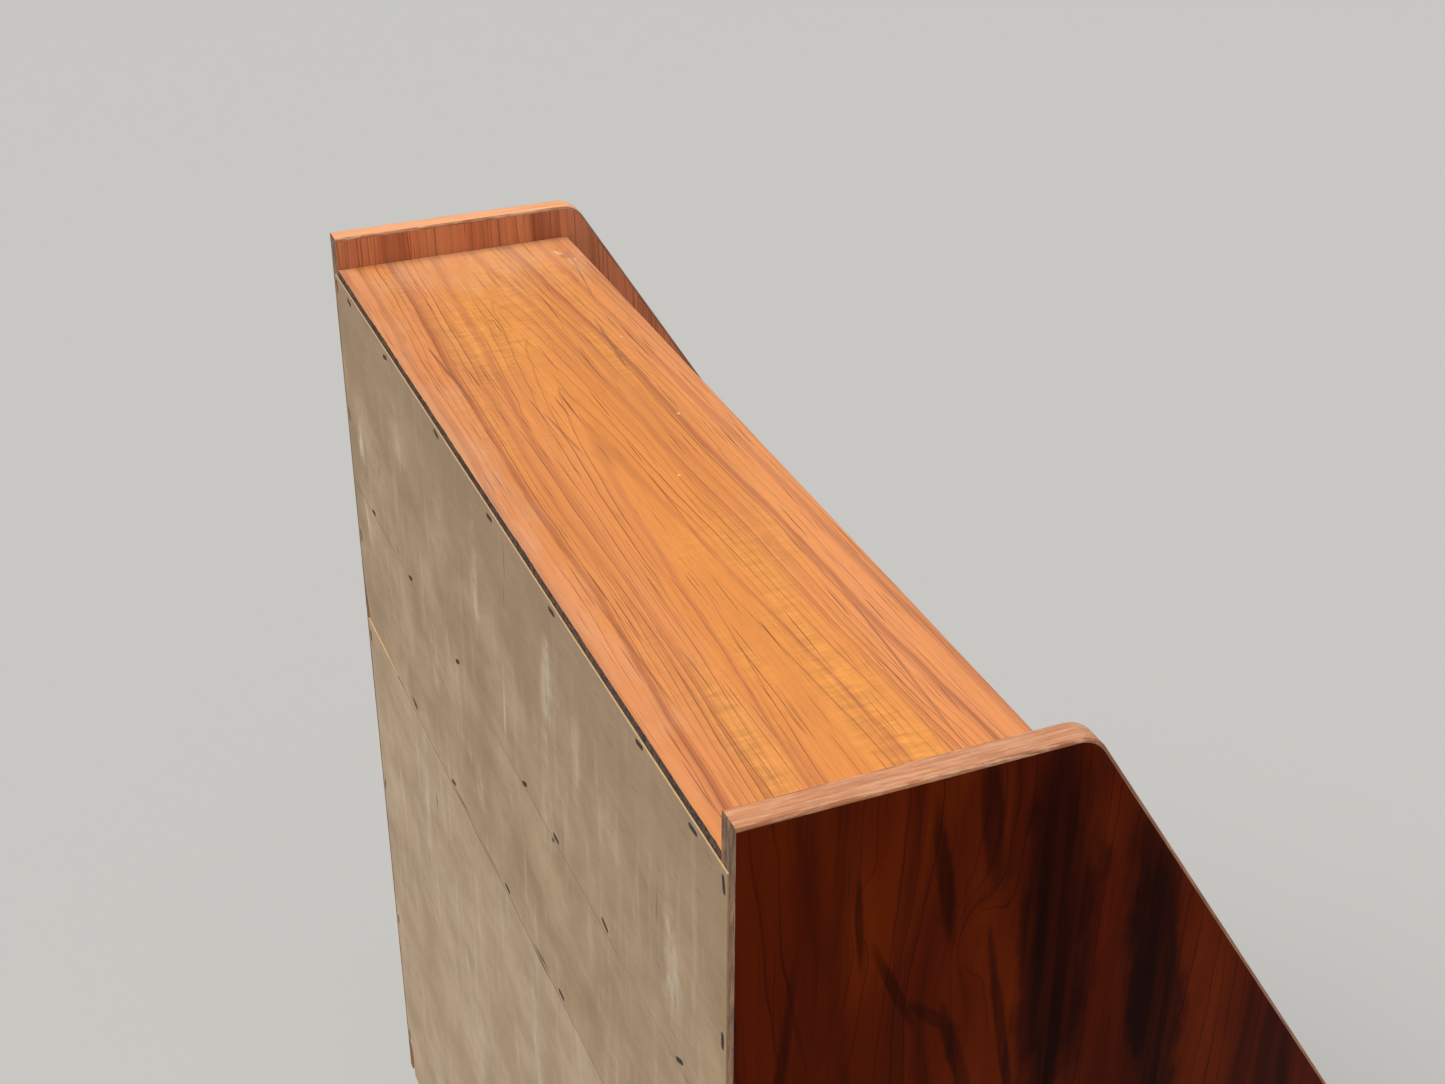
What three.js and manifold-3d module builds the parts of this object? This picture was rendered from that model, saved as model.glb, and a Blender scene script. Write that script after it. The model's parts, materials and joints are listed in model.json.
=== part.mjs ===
// A slant-front sewing bureau in teak: two shaped side panels, fixed boards between them, a stapled
// plywood back in two sheets, a fall flap that rests on two lopers, small drawers behind the flap,
// three long drawers below it and four turned legs on battens.
// Millimetres, +Z up, the front faces -Y. The origin is on the floor, under the middle of the case.
import * as THREE from 'three';
import { mergeVertices } from 'three/addons/utils/BufferGeometryUtils.js';
import Module from 'manifold-3d';

const wasm = await Module();
wasm.setup();

// ---- overall sizes
const WIDTH = 888;              // over both side panels
const DEPTH = 460;              // a side panel, back edge to front edge
const LEG_HEIGHT = 132;         // floor to the underside of the case
const LOWER_CASE = 598;         // underside of the case to the work surface
const UPPER_CASE = 350;         // work surface to the top board's upper surface
const GALLERY = 28;             // side panels stand this much above the top board
const TOP_DEPTH = 217;          // a side panel's top edge, to where the slope would meet it

// ---- board thicknesses
const SIDE_T = 19;
const BOARD_T = 19;
const FLAP_T = 19;
const FRONT_T = 19;
const SHELF_T = 12;
const DIVIDER_T = 10;
const THIN_SHELF_T = 8;
const PLY_T = 4;

// ---- clearances
const GAP = 0.3;                // pieces fixed face to face
const SLIDE_GAP = 1;            // each side of a sliding or swinging piece
const FRONT_GAP = 3;            // above and below a long drawer's front

// ---- side panels
const SLOPE_DROP = 8.5;         // foot of the sloping edge below the work surface
const TOP_CORNER_R = 24;
const FOOT_CORNER_R = 60;

// ---- plywood back in its rabbet
const PLY_PROUD = 1;
const RABBET_W = 11;
const RABBET_D = PLY_T - PLY_PROUD + GAP;
const PLY_TOP_DROP = 7.5;       // sheet's top edge below the top board's upper surface

// ---- fall flap
const FLAP_SETBACK = 26.6;      // outer face behind the sloping edges, measured level
const FLAP_TOP_GAP = 2.4;       // between its upper end and the top board's lower front corner
const HINGE_GAP = 0.5;          // between its lower end, when open, and the work surface's edge

// ---- finger grip worked along the upper edge of the flap and the long fronts
const LIP_DROP = 14;            // lip's top below the board's top
const LIP_T = 5;
const TONGUE_T = 5;             // what is left behind the scoop
const SCOOP_DEPTH = 10;

// ---- hinges
const HINGE_INSET = 125;        // hinge centre from the case's inner face
const HINGE_L = 50;
const LEAF_W = 22;
const LEAF_T = 2;
const KNUCKLE_R = 3;
const MIDDLE_KNUCKLE = 16;

// ---- pigeonholes and small drawers
const PIGEONHOLE_H = 134;       // work surface to the shelf
const SHELF_DEPTH = 225;
const DIVIDER_SETBACK = 3;      // divider's front edge behind the shelf's
const BAY_W = 255;              // clear width of each outer bay
const SMALL_BAY_H = 66;         // clear height under a thin shelf
const SMALL_FRONT_SETBACK = 9;  // front behind the shelf's front edge
const SMALL_T = 12;             // front
const SMALL_SIDE_T = 8;
const SMALL_BOTTOM_T = 4;
const SMALL_REAR_GAP = 8;       // behind the drawer
const SMALL_SIDE_DROP = 3;      // sides below the front's top
const NOTCH_R = 13;             // half-moon finger notch

// ---- lopers and their guides
const LOPER_ZONE = 49;          // under the work board, down to the guides' undersides
const LOPER_T = 18;
const LOPER_H = 40;
const LOPER_REAR = 60;          // loper's back end from the back of the case
const GUIDE_T = 12;
const GUIDE_FLOOR = 8;
const GUIDE_REAR = 20;
const LOPER_SCOOP_R = 9;

// ---- long drawers
const FRONT_SETBACK = 20;       // drawer fronts and rail behind the side panels' front edges
const UPPER_FRONT_H = 140;
const MIDDLE_FRONT_H = 165;     // the lowest front takes what is left
const DRAWER_SIDE_T = 12;
const DRAWER_SIDE_GAP = 1.5;
const DRAWER_BOTTOM_T = 5;
const DRAWER_REAR = 25;         // sides' back ends from the back of the case
const RUNNER_W = 24;
const RUNNER_H = 14;
const RUNNER_REAR = 20;
const RUNNER_SETBACK = 5;       // behind the drawer fronts' inner faces
const SIDE_TOP_DROP = 12;       // drawer sides below the front's top
const GROOVE_UP = 8;            // groove above the drawer side's lower edge
const GROOVE_D = 6;

// ---- thread rack in the upper drawer
const RACK = { length: 300, depth: 76, base: 10, pegR: 3, pegH: 48, columns: 6, rows: 2, margin: 24 };

// ---- base
const BATTEN_W = 60;
const BATTEN_H = 22;
const BATTEN_INSET = 45;        // from the case's end
const BATTEN_SETBACK = 50;      // from the case's back and front
const LEG_SETBACK = 35;         // leg's centre from the batten's end
const LEG_TOP_R = 17;
const LEG_FOOT_R = 11;

// ---- places worked out from the sizes above
const DESK_Z = LEG_HEIGHT + LOWER_CASE;
const TOP_Z = DESK_Z + UPPER_CASE;
const HEIGHT = TOP_Z + GALLERY;
const BACK_Y = (DEPTH - PLY_PROUD) / 2;
const INNER = WIDTH / 2 - SIDE_T;
const fromBack = (distance) => BACK_Y - distance;

const SLOPE_FOOT_Z = DESK_Z - SLOPE_DROP;
const SLOPE = Math.atan((DEPTH - TOP_DEPTH) / (HEIGHT - SLOPE_FOOT_Z));
const slopeDepth = (z) => TOP_DEPTH + (HEIGHT - z) * Math.tan(SLOPE);
const TOP_BOARD_DEPTH = slopeDepth(TOP_Z) - FLAP_SETBACK;
const HINGE_DEPTH = slopeDepth(DESK_Z) - FLAP_SETBACK - FLAP_T / Math.cos(SLOPE);
const FLAP_L = (HINGE_DEPTH - TOP_BOARD_DEPTH) * Math.sin(SLOPE)
  + (UPPER_CASE - BOARD_T) * Math.cos(SLOPE) - FLAP_TOP_GAP;
const HINGE_X = INNER - HINGE_INSET;

const FRONT_FACE = DEPTH - FRONT_SETBACK;
const FRONT_BACK = FRONT_FACE - FRONT_T;
const LOPER_FLOOR_Z = DESK_Z - BOARD_T - LOPER_ZONE;
const SHELF_Z = DESK_Z + PIGEONHOLE_H;
const DIVIDER_X = INNER - BAY_W - DIVIDER_T / 2;

// ---- finishes
const finish = (color, roughness, metalness = 0) =>
  new THREE.MeshStandardMaterial({ color, roughness, metalness });
const teak = finish(0xb5622c, 0.5);
const shadedTeak = finish(0x5e2812, 0.5);
const plywood = finish(0x9c8a6c, 0.85);
const beech = finish(0xcfa878, 0.6);
const brass = finish(0xb08d4a, 0.35, 1);

const bureau = new THREE.Group();

function piece(name, geometry, material, parent = bureau) {
  const mesh = new THREE.Mesh(geometry, material);
  mesh.name = name;
  parent.add(mesh);
  return mesh;
}

function board(x, y, z) {
  const geometry = new THREE.BoxGeometry(x[1] - x[0], Math.abs(y[1] - y[0]), z[1] - z[0]);
  return geometry.translate((x[0] + x[1]) / 2, (y[0] + y[1]) / 2, (z[0] + z[1]) / 2);
}

// A closed outline with some corners rounded: each entry is [across, up, radius].
function outline(corners) {
  const shape = new THREE.Shape();
  corners.forEach(([px, py, radius = 0], i) => {
    const corner = new THREE.Vector2(px, py);
    const before = new THREE.Vector2(...corners.at(i - 1)).sub(corner).normalize();
    const after = new THREE.Vector2(...corners[(i + 1) % corners.length]).sub(corner).normalize();
    const half = Math.acos(before.dot(after)) / 2;
    const start = corner.clone().addScaledVector(before, radius / Math.tan(half));
    if (i === 0) shape.moveTo(start.x, start.y);
    else shape.lineTo(start.x, start.y);
    if (radius === 0) return;
    const end = corner.clone().addScaledVector(after, radius / Math.tan(half));
    const inward = before.clone().add(after).normalize();
    const centre = corner.clone().addScaledVector(inward, radius / Math.sin(half));
    const from = Math.atan2(start.y - centre.y, start.x - centre.x);
    const to = Math.atan2(end.y - centre.y, end.x - centre.x);
    shape.absarc(centre.x, centre.y, radius, from, to, before.cross(after) > 0);
  });
  shape.closePath();
  return shape;
}

function extrude(shape, depth) {
  return new THREE.ExtrudeGeometry(shape, { depth, bevelEnabled: false, curveSegments: 8 });
}

// An outline in (Y, Z) drawn out along X, from x = from to x = to.
function alongX(shape, from, to) {
  const turn = new THREE.Matrix4().makeBasis(
    new THREE.Vector3(0, 1, 0), new THREE.Vector3(0, 0, 1), new THREE.Vector3(1, 0, 0));
  return extrude(shape, to - from).applyMatrix4(turn).translate(from, 0, 0);
}

// An outline in (X, Z) drawn out towards the front, from depth near to depth far.
function alongDepth(shape, near, far) {
  return extrude(shape, far - near).rotateX(Math.PI / 2).translate(0, fromBack(near), 0);
}

function rodAlongX(radius, from, to, y, z) {
  return new THREE.CylinderGeometry(radius, radius, to - from, 24)
    .rotateZ(Math.PI / 2).translate((from + to) / 2, y, z);
}

function solid(geometry) {
  const bare = geometry.clone();
  bare.deleteAttribute('normal');
  bare.deleteAttribute('uv');
  const merged = mergeVertices(bare, 1e-4);
  return new wasm.Manifold(new wasm.Mesh({
    numProp: 3,
    vertProperties: merged.attributes.position.array,
    triVerts: new Uint32Array(merged.index.array),
  }));
}

function surface(manifold) {
  const mesh = manifold.getMesh();
  const geometry = new THREE.BufferGeometry();
  geometry.setAttribute('position', new THREE.BufferAttribute(mesh.vertProperties, 3));
  geometry.setIndex(new THREE.BufferAttribute(mesh.triVerts, 1));
  geometry.computeVertexNormals();
  return geometry;
}

const cut = (geometry, ...tools) =>
  surface(tools.reduce((left, tool) => left.subtract(solid(tool)), solid(geometry)));
const join = (...geometries) =>
  surface(geometries.map(solid).reduce((all, next) => all.add(next)));

// ---- case
function makeCase() {
  const PAST = 2;
  const backEnd = RABBET_D;
  const across = [-INNER + GAP, INNER - GAP];
  const plyTop = TOP_Z - PLY_TOP_DROP;

  const sideOutline = () => outline([
    [BACK_Y, LEG_HEIGHT],
    [fromBack(DEPTH), LEG_HEIGHT],
    [fromBack(DEPTH), SLOPE_FOOT_Z, FOOT_CORNER_R],
    [fromBack(TOP_DEPTH), HEIGHT, TOP_CORNER_R],
    [BACK_Y, HEIGHT],
  ]);
  for (const [name, side] of [['left', -1], ['right', 1]]) {
    const from = side < 0 ? -WIDTH / 2 : INNER;
    const rabbetFrom = side < 0 ? -INNER - RABBET_W : INNER - PAST;
    const rabbet = board([rabbetFrom, rabbetFrom + RABBET_W + PAST],
      [fromBack(RABBET_D), BACK_Y + PAST], [LEG_HEIGHT - PAST, plyTop + GAP]);
    piece(`side_panel_${name}`, cut(alongX(sideOutline(), from, from + SIDE_T), rabbet), shadedTeak);
  }

  const topOutline = outline([
    [fromBack(TOP_BOARD_DEPTH), TOP_Z - BOARD_T],
    [fromBack(TOP_BOARD_DEPTH), TOP_Z],
    [BACK_Y, TOP_Z],
    [BACK_Y, plyTop + GAP],
    [fromBack(RABBET_D), plyTop + GAP],
    [fromBack(RABBET_D), TOP_Z - BOARD_T],
  ]);
  piece('top_board', alongX(topOutline, ...across), teak);

  piece('bottom_board', board(across, [fromBack(FRONT_FACE), fromBack(backEnd)],
    [LEG_HEIGHT, LEG_HEIGHT + BOARD_T]), teak);
  piece('front_rail', board(
    [-INNER + 2 * SLIDE_GAP + LOPER_T + GUIDE_T + GAP, INNER - 2 * SLIDE_GAP - LOPER_T - GUIDE_T - GAP],
    [fromBack(FRONT_FACE), fromBack(FRONT_BACK)],
    [LOPER_FLOOR_Z, DESK_Z - BOARD_T - SLIDE_GAP]), teak);

  const plyX = INNER + RABBET_W - 2 * GAP;
  const plyY = [fromBack(RABBET_D - GAP), BACK_Y + PLY_PROUD];
  const seam = DESK_Z - BOARD_T / 2;
  piece('back_sheet_upper', board([-plyX, plyX], plyY, [seam + GAP, plyTop]), plywood);
  piece('back_sheet_lower', board([-plyX, plyX], plyY, [LEG_HEIGHT + PLY_PROUD, seam - GAP]), plywood);
}

// ---- work board with the hinges' recesses, pigeonholes
function hingeRecess(x) {
  return [
    board([x - HINGE_L / 2 - GAP, x + HINGE_L / 2 + GAP], [-KNUCKLE_R, LEAF_W + GAP],
      [-LEAF_T - GAP, KNUCKLE_R]),
    rodAlongX(KNUCKLE_R + 1.5 * GAP, x - HINGE_L / 2 - GAP, x + HINGE_L / 2 + GAP, 0, 0),
  ];
}

function makeInterior() {
  const backEnd = fromBack(RABBET_D);
  const across = [-INNER + GAP, INNER - GAP];
  const hingeY = fromBack(HINGE_DEPTH);
  const recesses = [-HINGE_X, HINGE_X].flatMap(hingeRecess)
    .map((tool) => tool.translate(0, hingeY, DESK_Z));
  const work = board(across, [hingeY + HINGE_GAP, backEnd], [DESK_Z - BOARD_T, DESK_Z]);
  piece('work_board', cut(work, ...recesses), teak);

  piece('pigeonhole_shelf',
    board(across, [fromBack(SHELF_DEPTH), backEnd], [SHELF_Z, SHELF_Z + SHELF_T]), teak);
  const dividerFront = fromBack(SHELF_DEPTH - DIVIDER_SETBACK);
  const thinShelfZ = DESK_Z + SMALL_BAY_H;
  for (const [name, side] of [['left', -1], ['right', 1]]) {
    const x = side * DIVIDER_X;
    piece(`divider_${name}`, board([x - DIVIDER_T / 2, x + DIVIDER_T / 2], [dividerFront, backEnd],
      [DESK_Z + GAP, SHELF_Z - GAP]), teak);
    const ends = [side * (INNER - GAP), side * (INNER - BAY_W + GAP)].sort((a, b) => a - b);
    piece(`small_drawer_shelf_${name}`,
      board(ends, [dividerFront, backEnd], [thinShelfZ, thinShelfZ + THIN_SHELF_T]), teak);
  }
}

// ---- fall flap: its own frame stands on the hinge line, leaning back along the slope
function gripOutline(height, thickness, groove) {
  const lipTop = height - LIP_DROP;
  const shape = new THREE.Shape();
  shape.moveTo(0, 0);
  shape.lineTo(-thickness, 0);
  shape.lineTo(-thickness, lipTop);
  shape.lineTo(-thickness + LIP_T, lipTop);
  const scoopHalf = (thickness - LIP_T - TONGUE_T) / 2;
  shape.absellipse(-TONGUE_T - scoopHalf, lipTop, scoopHalf, SCOOP_DEPTH, Math.PI, 2 * Math.PI);
  shape.lineTo(-TONGUE_T, height);
  shape.lineTo(0, height);
  if (groove) {
    shape.lineTo(0, groove.top);
    shape.lineTo(-groove.depth, groove.top);
    shape.lineTo(-groove.depth, groove.bottom);
    shape.lineTo(0, groove.bottom);
  }
  shape.closePath();
  return shape;
}

function makeFlap() {
  const leaning = new THREE.Group();
  leaning.position.set(0, fromBack(HINGE_DEPTH), DESK_Z);
  leaning.rotation.x = -SLOPE;
  bureau.add(leaning);
  const half = INNER - SLIDE_GAP;
  // Leaves and recesses are drawn on the level work board. A half turn about the line midway between
  // Y and Z lays them on the flap's inner side, and swaps left with right, which are alike.
  const ontoFlap = new THREE.Quaternion().setFromAxisAngle(new THREE.Vector3(0, 1, 1).normalize(), Math.PI);
  const recesses = [-HINGE_X, HINGE_X].flatMap(hingeRecess)
    .map((tool) => tool.applyQuaternion(ontoFlap));
  piece('flap', cut(alongX(gripOutline(FLAP_L, FLAP_T), -half, half), ...recesses), teak, leaning);

  // Butt hinges: the middle knuckle belongs to the flap's leaf and the outer two to the work board's.
  for (const [name, x] of [['left', -HINGE_X], ['right', HINGE_X]]) {
    const middle = MIDDLE_KNUCKLE / 2;
    const end = HINGE_L / 2;
    const clear = KNUCKLE_R + GAP;
    const leaf = () => board([x - end, x + end], [clear, LEAF_W], [-LEAF_T, 0]);
    const knuckle = (from, to) => [
      rodAlongX(KNUCKLE_R, x + from, x + to, 0, 0),
      board([x + from, x + to], [0, clear + 1], [-LEAF_T, 0]),
    ];
    const fixed = join(leaf(), ...knuckle(-end, -middle - GAP), ...knuckle(middle + GAP, end));
    piece(`hinge_leaf_fixed_${name}`, fixed.translate(0, fromBack(HINGE_DEPTH), DESK_Z), brass);
    const swinging = join(leaf(), ...knuckle(-middle, middle));
    piece(`hinge_leaf_flap_${name === 'left' ? 'right' : 'left'}`,
      swinging.applyQuaternion(ontoFlap), brass, leaning);
  }
}

// ---- lopers
function makeLopers() {
  for (const [name, side] of [['left', -1], ['right', 1]]) {
    const outer = INNER - SLIDE_GAP;
    const inner = outer - LOPER_T;
    const guideFace = inner - SLIDE_GAP;
    const x = (...values) => values.map((value) => side * value).sort((a, b) => a - b);
    const bottom = LOPER_FLOOR_Z + GUIDE_FLOOR + HINGE_GAP;
    const top = bottom + LOPER_H;
    const bar = board(x(outer, inner), [fromBack(FRONT_FACE), fromBack(LOPER_REAR)], [bottom, top]);
    const scoop = rodAlongX(LOPER_SCOOP_R, ...x(outer + 1, inner - 1), fromBack(FRONT_FACE - 16), top + 2);
    piece(`loper_${name}`, cut(bar, scoop), teak);

    const guideTop = DESK_Z - BOARD_T - GAP;
    const angle = outline([
      [side * (guideFace - GUIDE_T), LOPER_FLOOR_Z],
      [side * (guideFace - GUIDE_T), guideTop],
      [side * guideFace, guideTop],
      [side * guideFace, LOPER_FLOOR_Z + GUIDE_FLOOR],
      [side * (INNER - GAP), LOPER_FLOOR_Z + GUIDE_FLOOR],
      [side * (INNER - GAP), LOPER_FLOOR_Z],
    ]);
    piece(`loper_guide_${name}`, alongDepth(angle, GUIDE_REAR, FRONT_FACE), beech);
  }
}

// ---- drawers: a box of two sides, a back and a bottom held in grooves behind a front
function drawerBox(name, size) {
  const { centre, half, bottom, top, rear, front, sideT, bottomT, grooveUp, grooveD } = size;
  const grooveTop = bottom + grooveUp + bottomT + 2 * GAP;
  const y = [fromBack(front - GAP), fromBack(rear)];
  for (const [hand, side] of [['left', -1], ['right', 1]]) {
    const x = (value) => centre + side * value;
    const section = outline([
      [x(half), bottom], [x(half), top], [x(half - sideT), top], [x(half - sideT), grooveTop],
      [x(half - sideT + grooveD), grooveTop], [x(half - sideT + grooveD), bottom + grooveUp],
      [x(half - sideT), bottom + grooveUp], [x(half - sideT), bottom],
    ]);
    piece(`${name}_side_${hand}`, alongDepth(section, rear, front - GAP), beech);
  }
  const inside = half - sideT - GAP;
  piece(`${name}_back`, board([centre - inside, centre + inside],
    [y[1] - sideT - bottomT, y[1] - bottomT], [grooveTop, top - bottomT]), beech);
  const under = half - sideT + grooveD - GAP;
  piece(`${name}_bottom`, board([centre - under, centre + under],
    [fromBack(front + grooveD - GAP), y[1]],
    [bottom + grooveUp + GAP, bottom + grooveUp + GAP + bottomT]), plywood);
}

function makeLongDrawers() {
  const zoneTop = LOPER_FLOOR_Z - FRONT_GAP;
  const zoneBottom = LEG_HEIGHT + BOARD_T + FRONT_GAP;
  const lowest = zoneTop - zoneBottom - UPPER_FRONT_H - MIDDLE_FRONT_H - 2 * FRONT_GAP;
  const half = INNER - DRAWER_SIDE_GAP;
  const lift = 2 + RUNNER_H + HINGE_GAP;
  let top = zoneTop;
  for (const [name, height] of [['upper', UPPER_FRONT_H], ['middle', MIDDLE_FRONT_H], ['lower', lowest]]) {
    const bottom = top - height;
    const groove = { bottom: lift + GROOVE_UP, top: lift + GROOVE_UP + DRAWER_BOTTOM_T + 2 * GAP,
      depth: GROOVE_D };
    const front = alongX(gripOutline(height, FRONT_T, groove), -half, half);
    piece(`${name}_drawer_front`, front.translate(0, fromBack(FRONT_BACK), bottom), teak);
    drawerBox(`${name}_drawer`, {
      centre: 0, half, bottom: bottom + lift, top: top - SIDE_TOP_DROP, rear: DRAWER_REAR,
      front: FRONT_BACK, sideT: DRAWER_SIDE_T, bottomT: DRAWER_BOTTOM_T, grooveUp: GROOVE_UP,
      grooveD: GROOVE_D,
    });
    for (const [hand, side] of [['left', -1], ['right', 1]]) {
      const x = [side * (INNER - GAP), side * (INNER - GAP - RUNNER_W)].sort((a, b) => a - b);
      piece(`${name}_runner_${hand}`, board(x,
        [fromBack(FRONT_BACK - RUNNER_SETBACK), fromBack(RUNNER_REAR)],
        [bottom + 2, bottom + 2 + RUNNER_H]), beech);
    }
    if (name === 'upper') makeThreadRack(bottom + groove.top);
    top = bottom - FRONT_GAP;
  }
}

function makeSmallDrawers() {
  const bottom = DESK_Z + HINGE_GAP;
  const top = DESK_Z + SMALL_BAY_H - SLIDE_GAP;
  const face = SHELF_DEPTH - SMALL_FRONT_SETBACK;
  const half = BAY_W / 2 - SLIDE_GAP;
  const grooveUp = 5;
  const grooveD = SMALL_SIDE_T / 2;
  for (const [name, side] of [['left', -1], ['right', 1]]) {
    const centre = side * (INNER - BAY_W / 2);
    const shape = new THREE.Shape();
    shape.moveTo(centre - half, bottom);
    shape.lineTo(centre + half, bottom);
    shape.lineTo(centre + half, top);
    shape.absarc(centre, top, NOTCH_R, 0, Math.PI, true);
    shape.lineTo(centre - half, top);
    shape.closePath();
    const groove = board([centre - half - 1, centre + half + 1],
      [fromBack(face - SMALL_T + grooveD), fromBack(face - SMALL_T - 1)],
      [bottom + grooveUp, bottom + grooveUp + SMALL_BOTTOM_T + 2 * GAP]);
    piece(`small_drawer_${name}_front`, cut(alongDepth(shape, face - SMALL_T, face), groove), teak);
    drawerBox(`small_drawer_${name}`, {
      centre, half, bottom, top: top - SMALL_SIDE_DROP, rear: RABBET_D + SMALL_REAR_GAP,
      front: face - SMALL_T, sideT: SMALL_SIDE_T, bottomT: SMALL_BOTTOM_T, grooveUp, grooveD,
    });
  }
}

function makeThreadRack(floorZ) {
  const { length, depth, base, pegR, pegH, columns, rows, margin } = RACK;
  const left = -INNER + 40;
  const rear = fromBack(DRAWER_REAR + 90);
  const pegs = [];
  for (let i = 0; i < columns; i += 1) {
    for (let j = 0; j < rows; j += 1) {
      const x = left + margin + i * (length - 2 * margin) / (columns - 1);
      const y = rear - margin - j * (depth - 2 * margin) / (rows - 1);
      pegs.push(new THREE.CylinderGeometry(pegR, pegR, pegH, 12).rotateX(Math.PI / 2)
        .translate(x, y, floorZ + GAP + base - 2 + pegH / 2));
    }
  }
  const strip = board([left, left + length], [rear - depth, rear], [floorZ + GAP, floorZ + GAP + base]);
  piece('thread_rack', join(strip, ...pegs), beech);
}

// ---- base
function makeBase() {
  const top = LEG_HEIGHT - BATTEN_H;
  for (const [name, side] of [['left', -1], ['right', 1]]) {
    const x = side * (WIDTH / 2 - BATTEN_INSET - BATTEN_W / 2);
    const near = BATTEN_SETBACK;
    const far = DEPTH - BATTEN_SETBACK;
    piece(`leg_batten_${name}`, board([x - BATTEN_W / 2, x + BATTEN_W / 2], [fromBack(far), fromBack(near)],
      [top, LEG_HEIGHT - GAP]), teak);
    for (const [place, depth] of [['back', near + LEG_SETBACK], ['front', far - LEG_SETBACK]]) {
      const profile = [[0, 0], [LEG_FOOT_R - 1, 0], [LEG_FOOT_R, 2], [LEG_TOP_R - 1.5, top - 18],
        [LEG_TOP_R, top - 8], [LEG_TOP_R, top - GAP], [0, top - GAP]];
      const leg = new THREE.LatheGeometry(profile.map(([r, z]) => new THREE.Vector2(r, z)), 24);
      piece(`leg_${place}_${name}`, leg.rotateX(Math.PI / 2).translate(x, fromBack(depth), 0), teak);
    }
  }
}

makeCase();
makeInterior();
makeFlap();
makeLopers();
makeLongDrawers();
makeSmallDrawers();
makeBase();

export default bureau;
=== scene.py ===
# The sewing bureau as it is seen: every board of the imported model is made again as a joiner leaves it,
# and the section for each group of pieces holds its sizes, colours, meshes, materials and joints' bodies.
# Metres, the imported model's own frame: +X to the right, +Y to the back, +Z up, floor at z = 0.
import json
import math
import random

import bmesh
import bpy
from mathutils import Matrix, Vector, noise


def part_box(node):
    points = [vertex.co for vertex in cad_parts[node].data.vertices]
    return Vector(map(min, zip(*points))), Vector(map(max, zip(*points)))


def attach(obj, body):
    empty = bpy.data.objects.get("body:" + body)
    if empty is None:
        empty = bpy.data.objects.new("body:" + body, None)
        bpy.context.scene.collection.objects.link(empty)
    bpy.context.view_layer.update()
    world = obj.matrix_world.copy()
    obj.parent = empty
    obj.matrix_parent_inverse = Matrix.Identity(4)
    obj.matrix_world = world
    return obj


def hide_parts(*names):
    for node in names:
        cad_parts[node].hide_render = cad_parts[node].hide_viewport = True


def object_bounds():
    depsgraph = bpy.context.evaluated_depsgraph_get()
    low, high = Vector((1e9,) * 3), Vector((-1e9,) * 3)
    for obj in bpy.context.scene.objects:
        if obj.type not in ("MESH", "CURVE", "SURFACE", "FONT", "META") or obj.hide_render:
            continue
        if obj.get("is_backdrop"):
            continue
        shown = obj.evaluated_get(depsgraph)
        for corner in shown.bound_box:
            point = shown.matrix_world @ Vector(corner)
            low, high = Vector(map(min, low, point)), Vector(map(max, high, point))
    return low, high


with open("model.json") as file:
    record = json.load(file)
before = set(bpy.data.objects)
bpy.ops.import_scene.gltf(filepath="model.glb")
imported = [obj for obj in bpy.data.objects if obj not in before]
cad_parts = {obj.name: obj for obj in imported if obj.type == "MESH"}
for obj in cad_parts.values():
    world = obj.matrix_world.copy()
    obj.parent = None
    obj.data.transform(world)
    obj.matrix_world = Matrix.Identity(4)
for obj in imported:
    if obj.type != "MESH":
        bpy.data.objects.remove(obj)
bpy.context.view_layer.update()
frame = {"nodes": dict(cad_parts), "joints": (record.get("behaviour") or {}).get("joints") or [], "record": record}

MM = 0.001
bodies = frame["record"]["behaviour"]["bodies"]


# Camera, floor and light: a pale floor that sweeps up into a backdrop, a wide soft sun high behind the
# bureau and a weaker one before it. The top is brightest, the back half lit, the left side in shade.
LENS = 50.58
SENSOR = 36
FROM_BACK_CORNER = Vector((-0.7755, 0.3303, 0.6814))
LOOK = Vector((0.79441, -0.33799, -0.50466))
UPWARDS = Vector((0.46685, -0.19174, 0.86330))
SKY = (0.80, 0.86, 0.95, 1)
SKY_STRENGTH = 0.27
SUNS = (("overhead", 50, 2.98, (0.10, 1.0, 1.95), (1.0, 0.97, 0.92)),
        ("front", 70, 1.05, (0.60, -1.0, 0.75), (1.0, 0.98, 0.95)))
FLOOR_COLOUR = (0.47, 0.47, 0.46, 1)
FLAT_FLOOR = 18.0
SWEEP_R = 7.0
SWEEP_TOP = 9.0
SWEEP_SIDES = 48


def make_camera():
    """Stands behind, above and to the left of the top board's back left corner, looking down along it."""
    low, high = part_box("top_board")
    camera = bpy.data.objects.new("camera", bpy.data.cameras.new("camera"))
    bpy.context.scene.collection.objects.link(camera)
    camera.data.lens = LENS
    camera.data.sensor_width = SENSOR
    look = LOOK.normalized()
    right = look.cross(UPWARDS).normalized()
    turn = Matrix((right, right.cross(look), -look)).transposed().to_4x4()
    camera.matrix_world = Matrix.Translation(Vector((low.x, high.y, high.z)) + FROM_BACK_CORNER) @ turn
    bpy.context.scene.camera = camera


def make_lights():
    """A pale sky and two soft suns; a sun is (name, width in degrees, strength, from where, colour)."""
    world = bpy.data.worlds.new("studio")
    world.use_nodes = True
    world.node_tree.nodes["Background"].inputs["Color"].default_value = SKY
    world.node_tree.nodes["Background"].inputs["Strength"].default_value = SKY_STRENGTH
    bpy.context.scene.world = world
    for name, width, strength, place, colour in SUNS:
        light = bpy.data.objects.new(name, bpy.data.lights.new(name, "SUN"))
        light.data.angle = math.radians(width)
        light.data.energy = strength
        light.data.color = colour
        light.location = place
        light.rotation_euler = (-light.location).to_track_quat("-Z", "Y").to_euler()
        bpy.context.scene.collection.objects.link(light)


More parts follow.
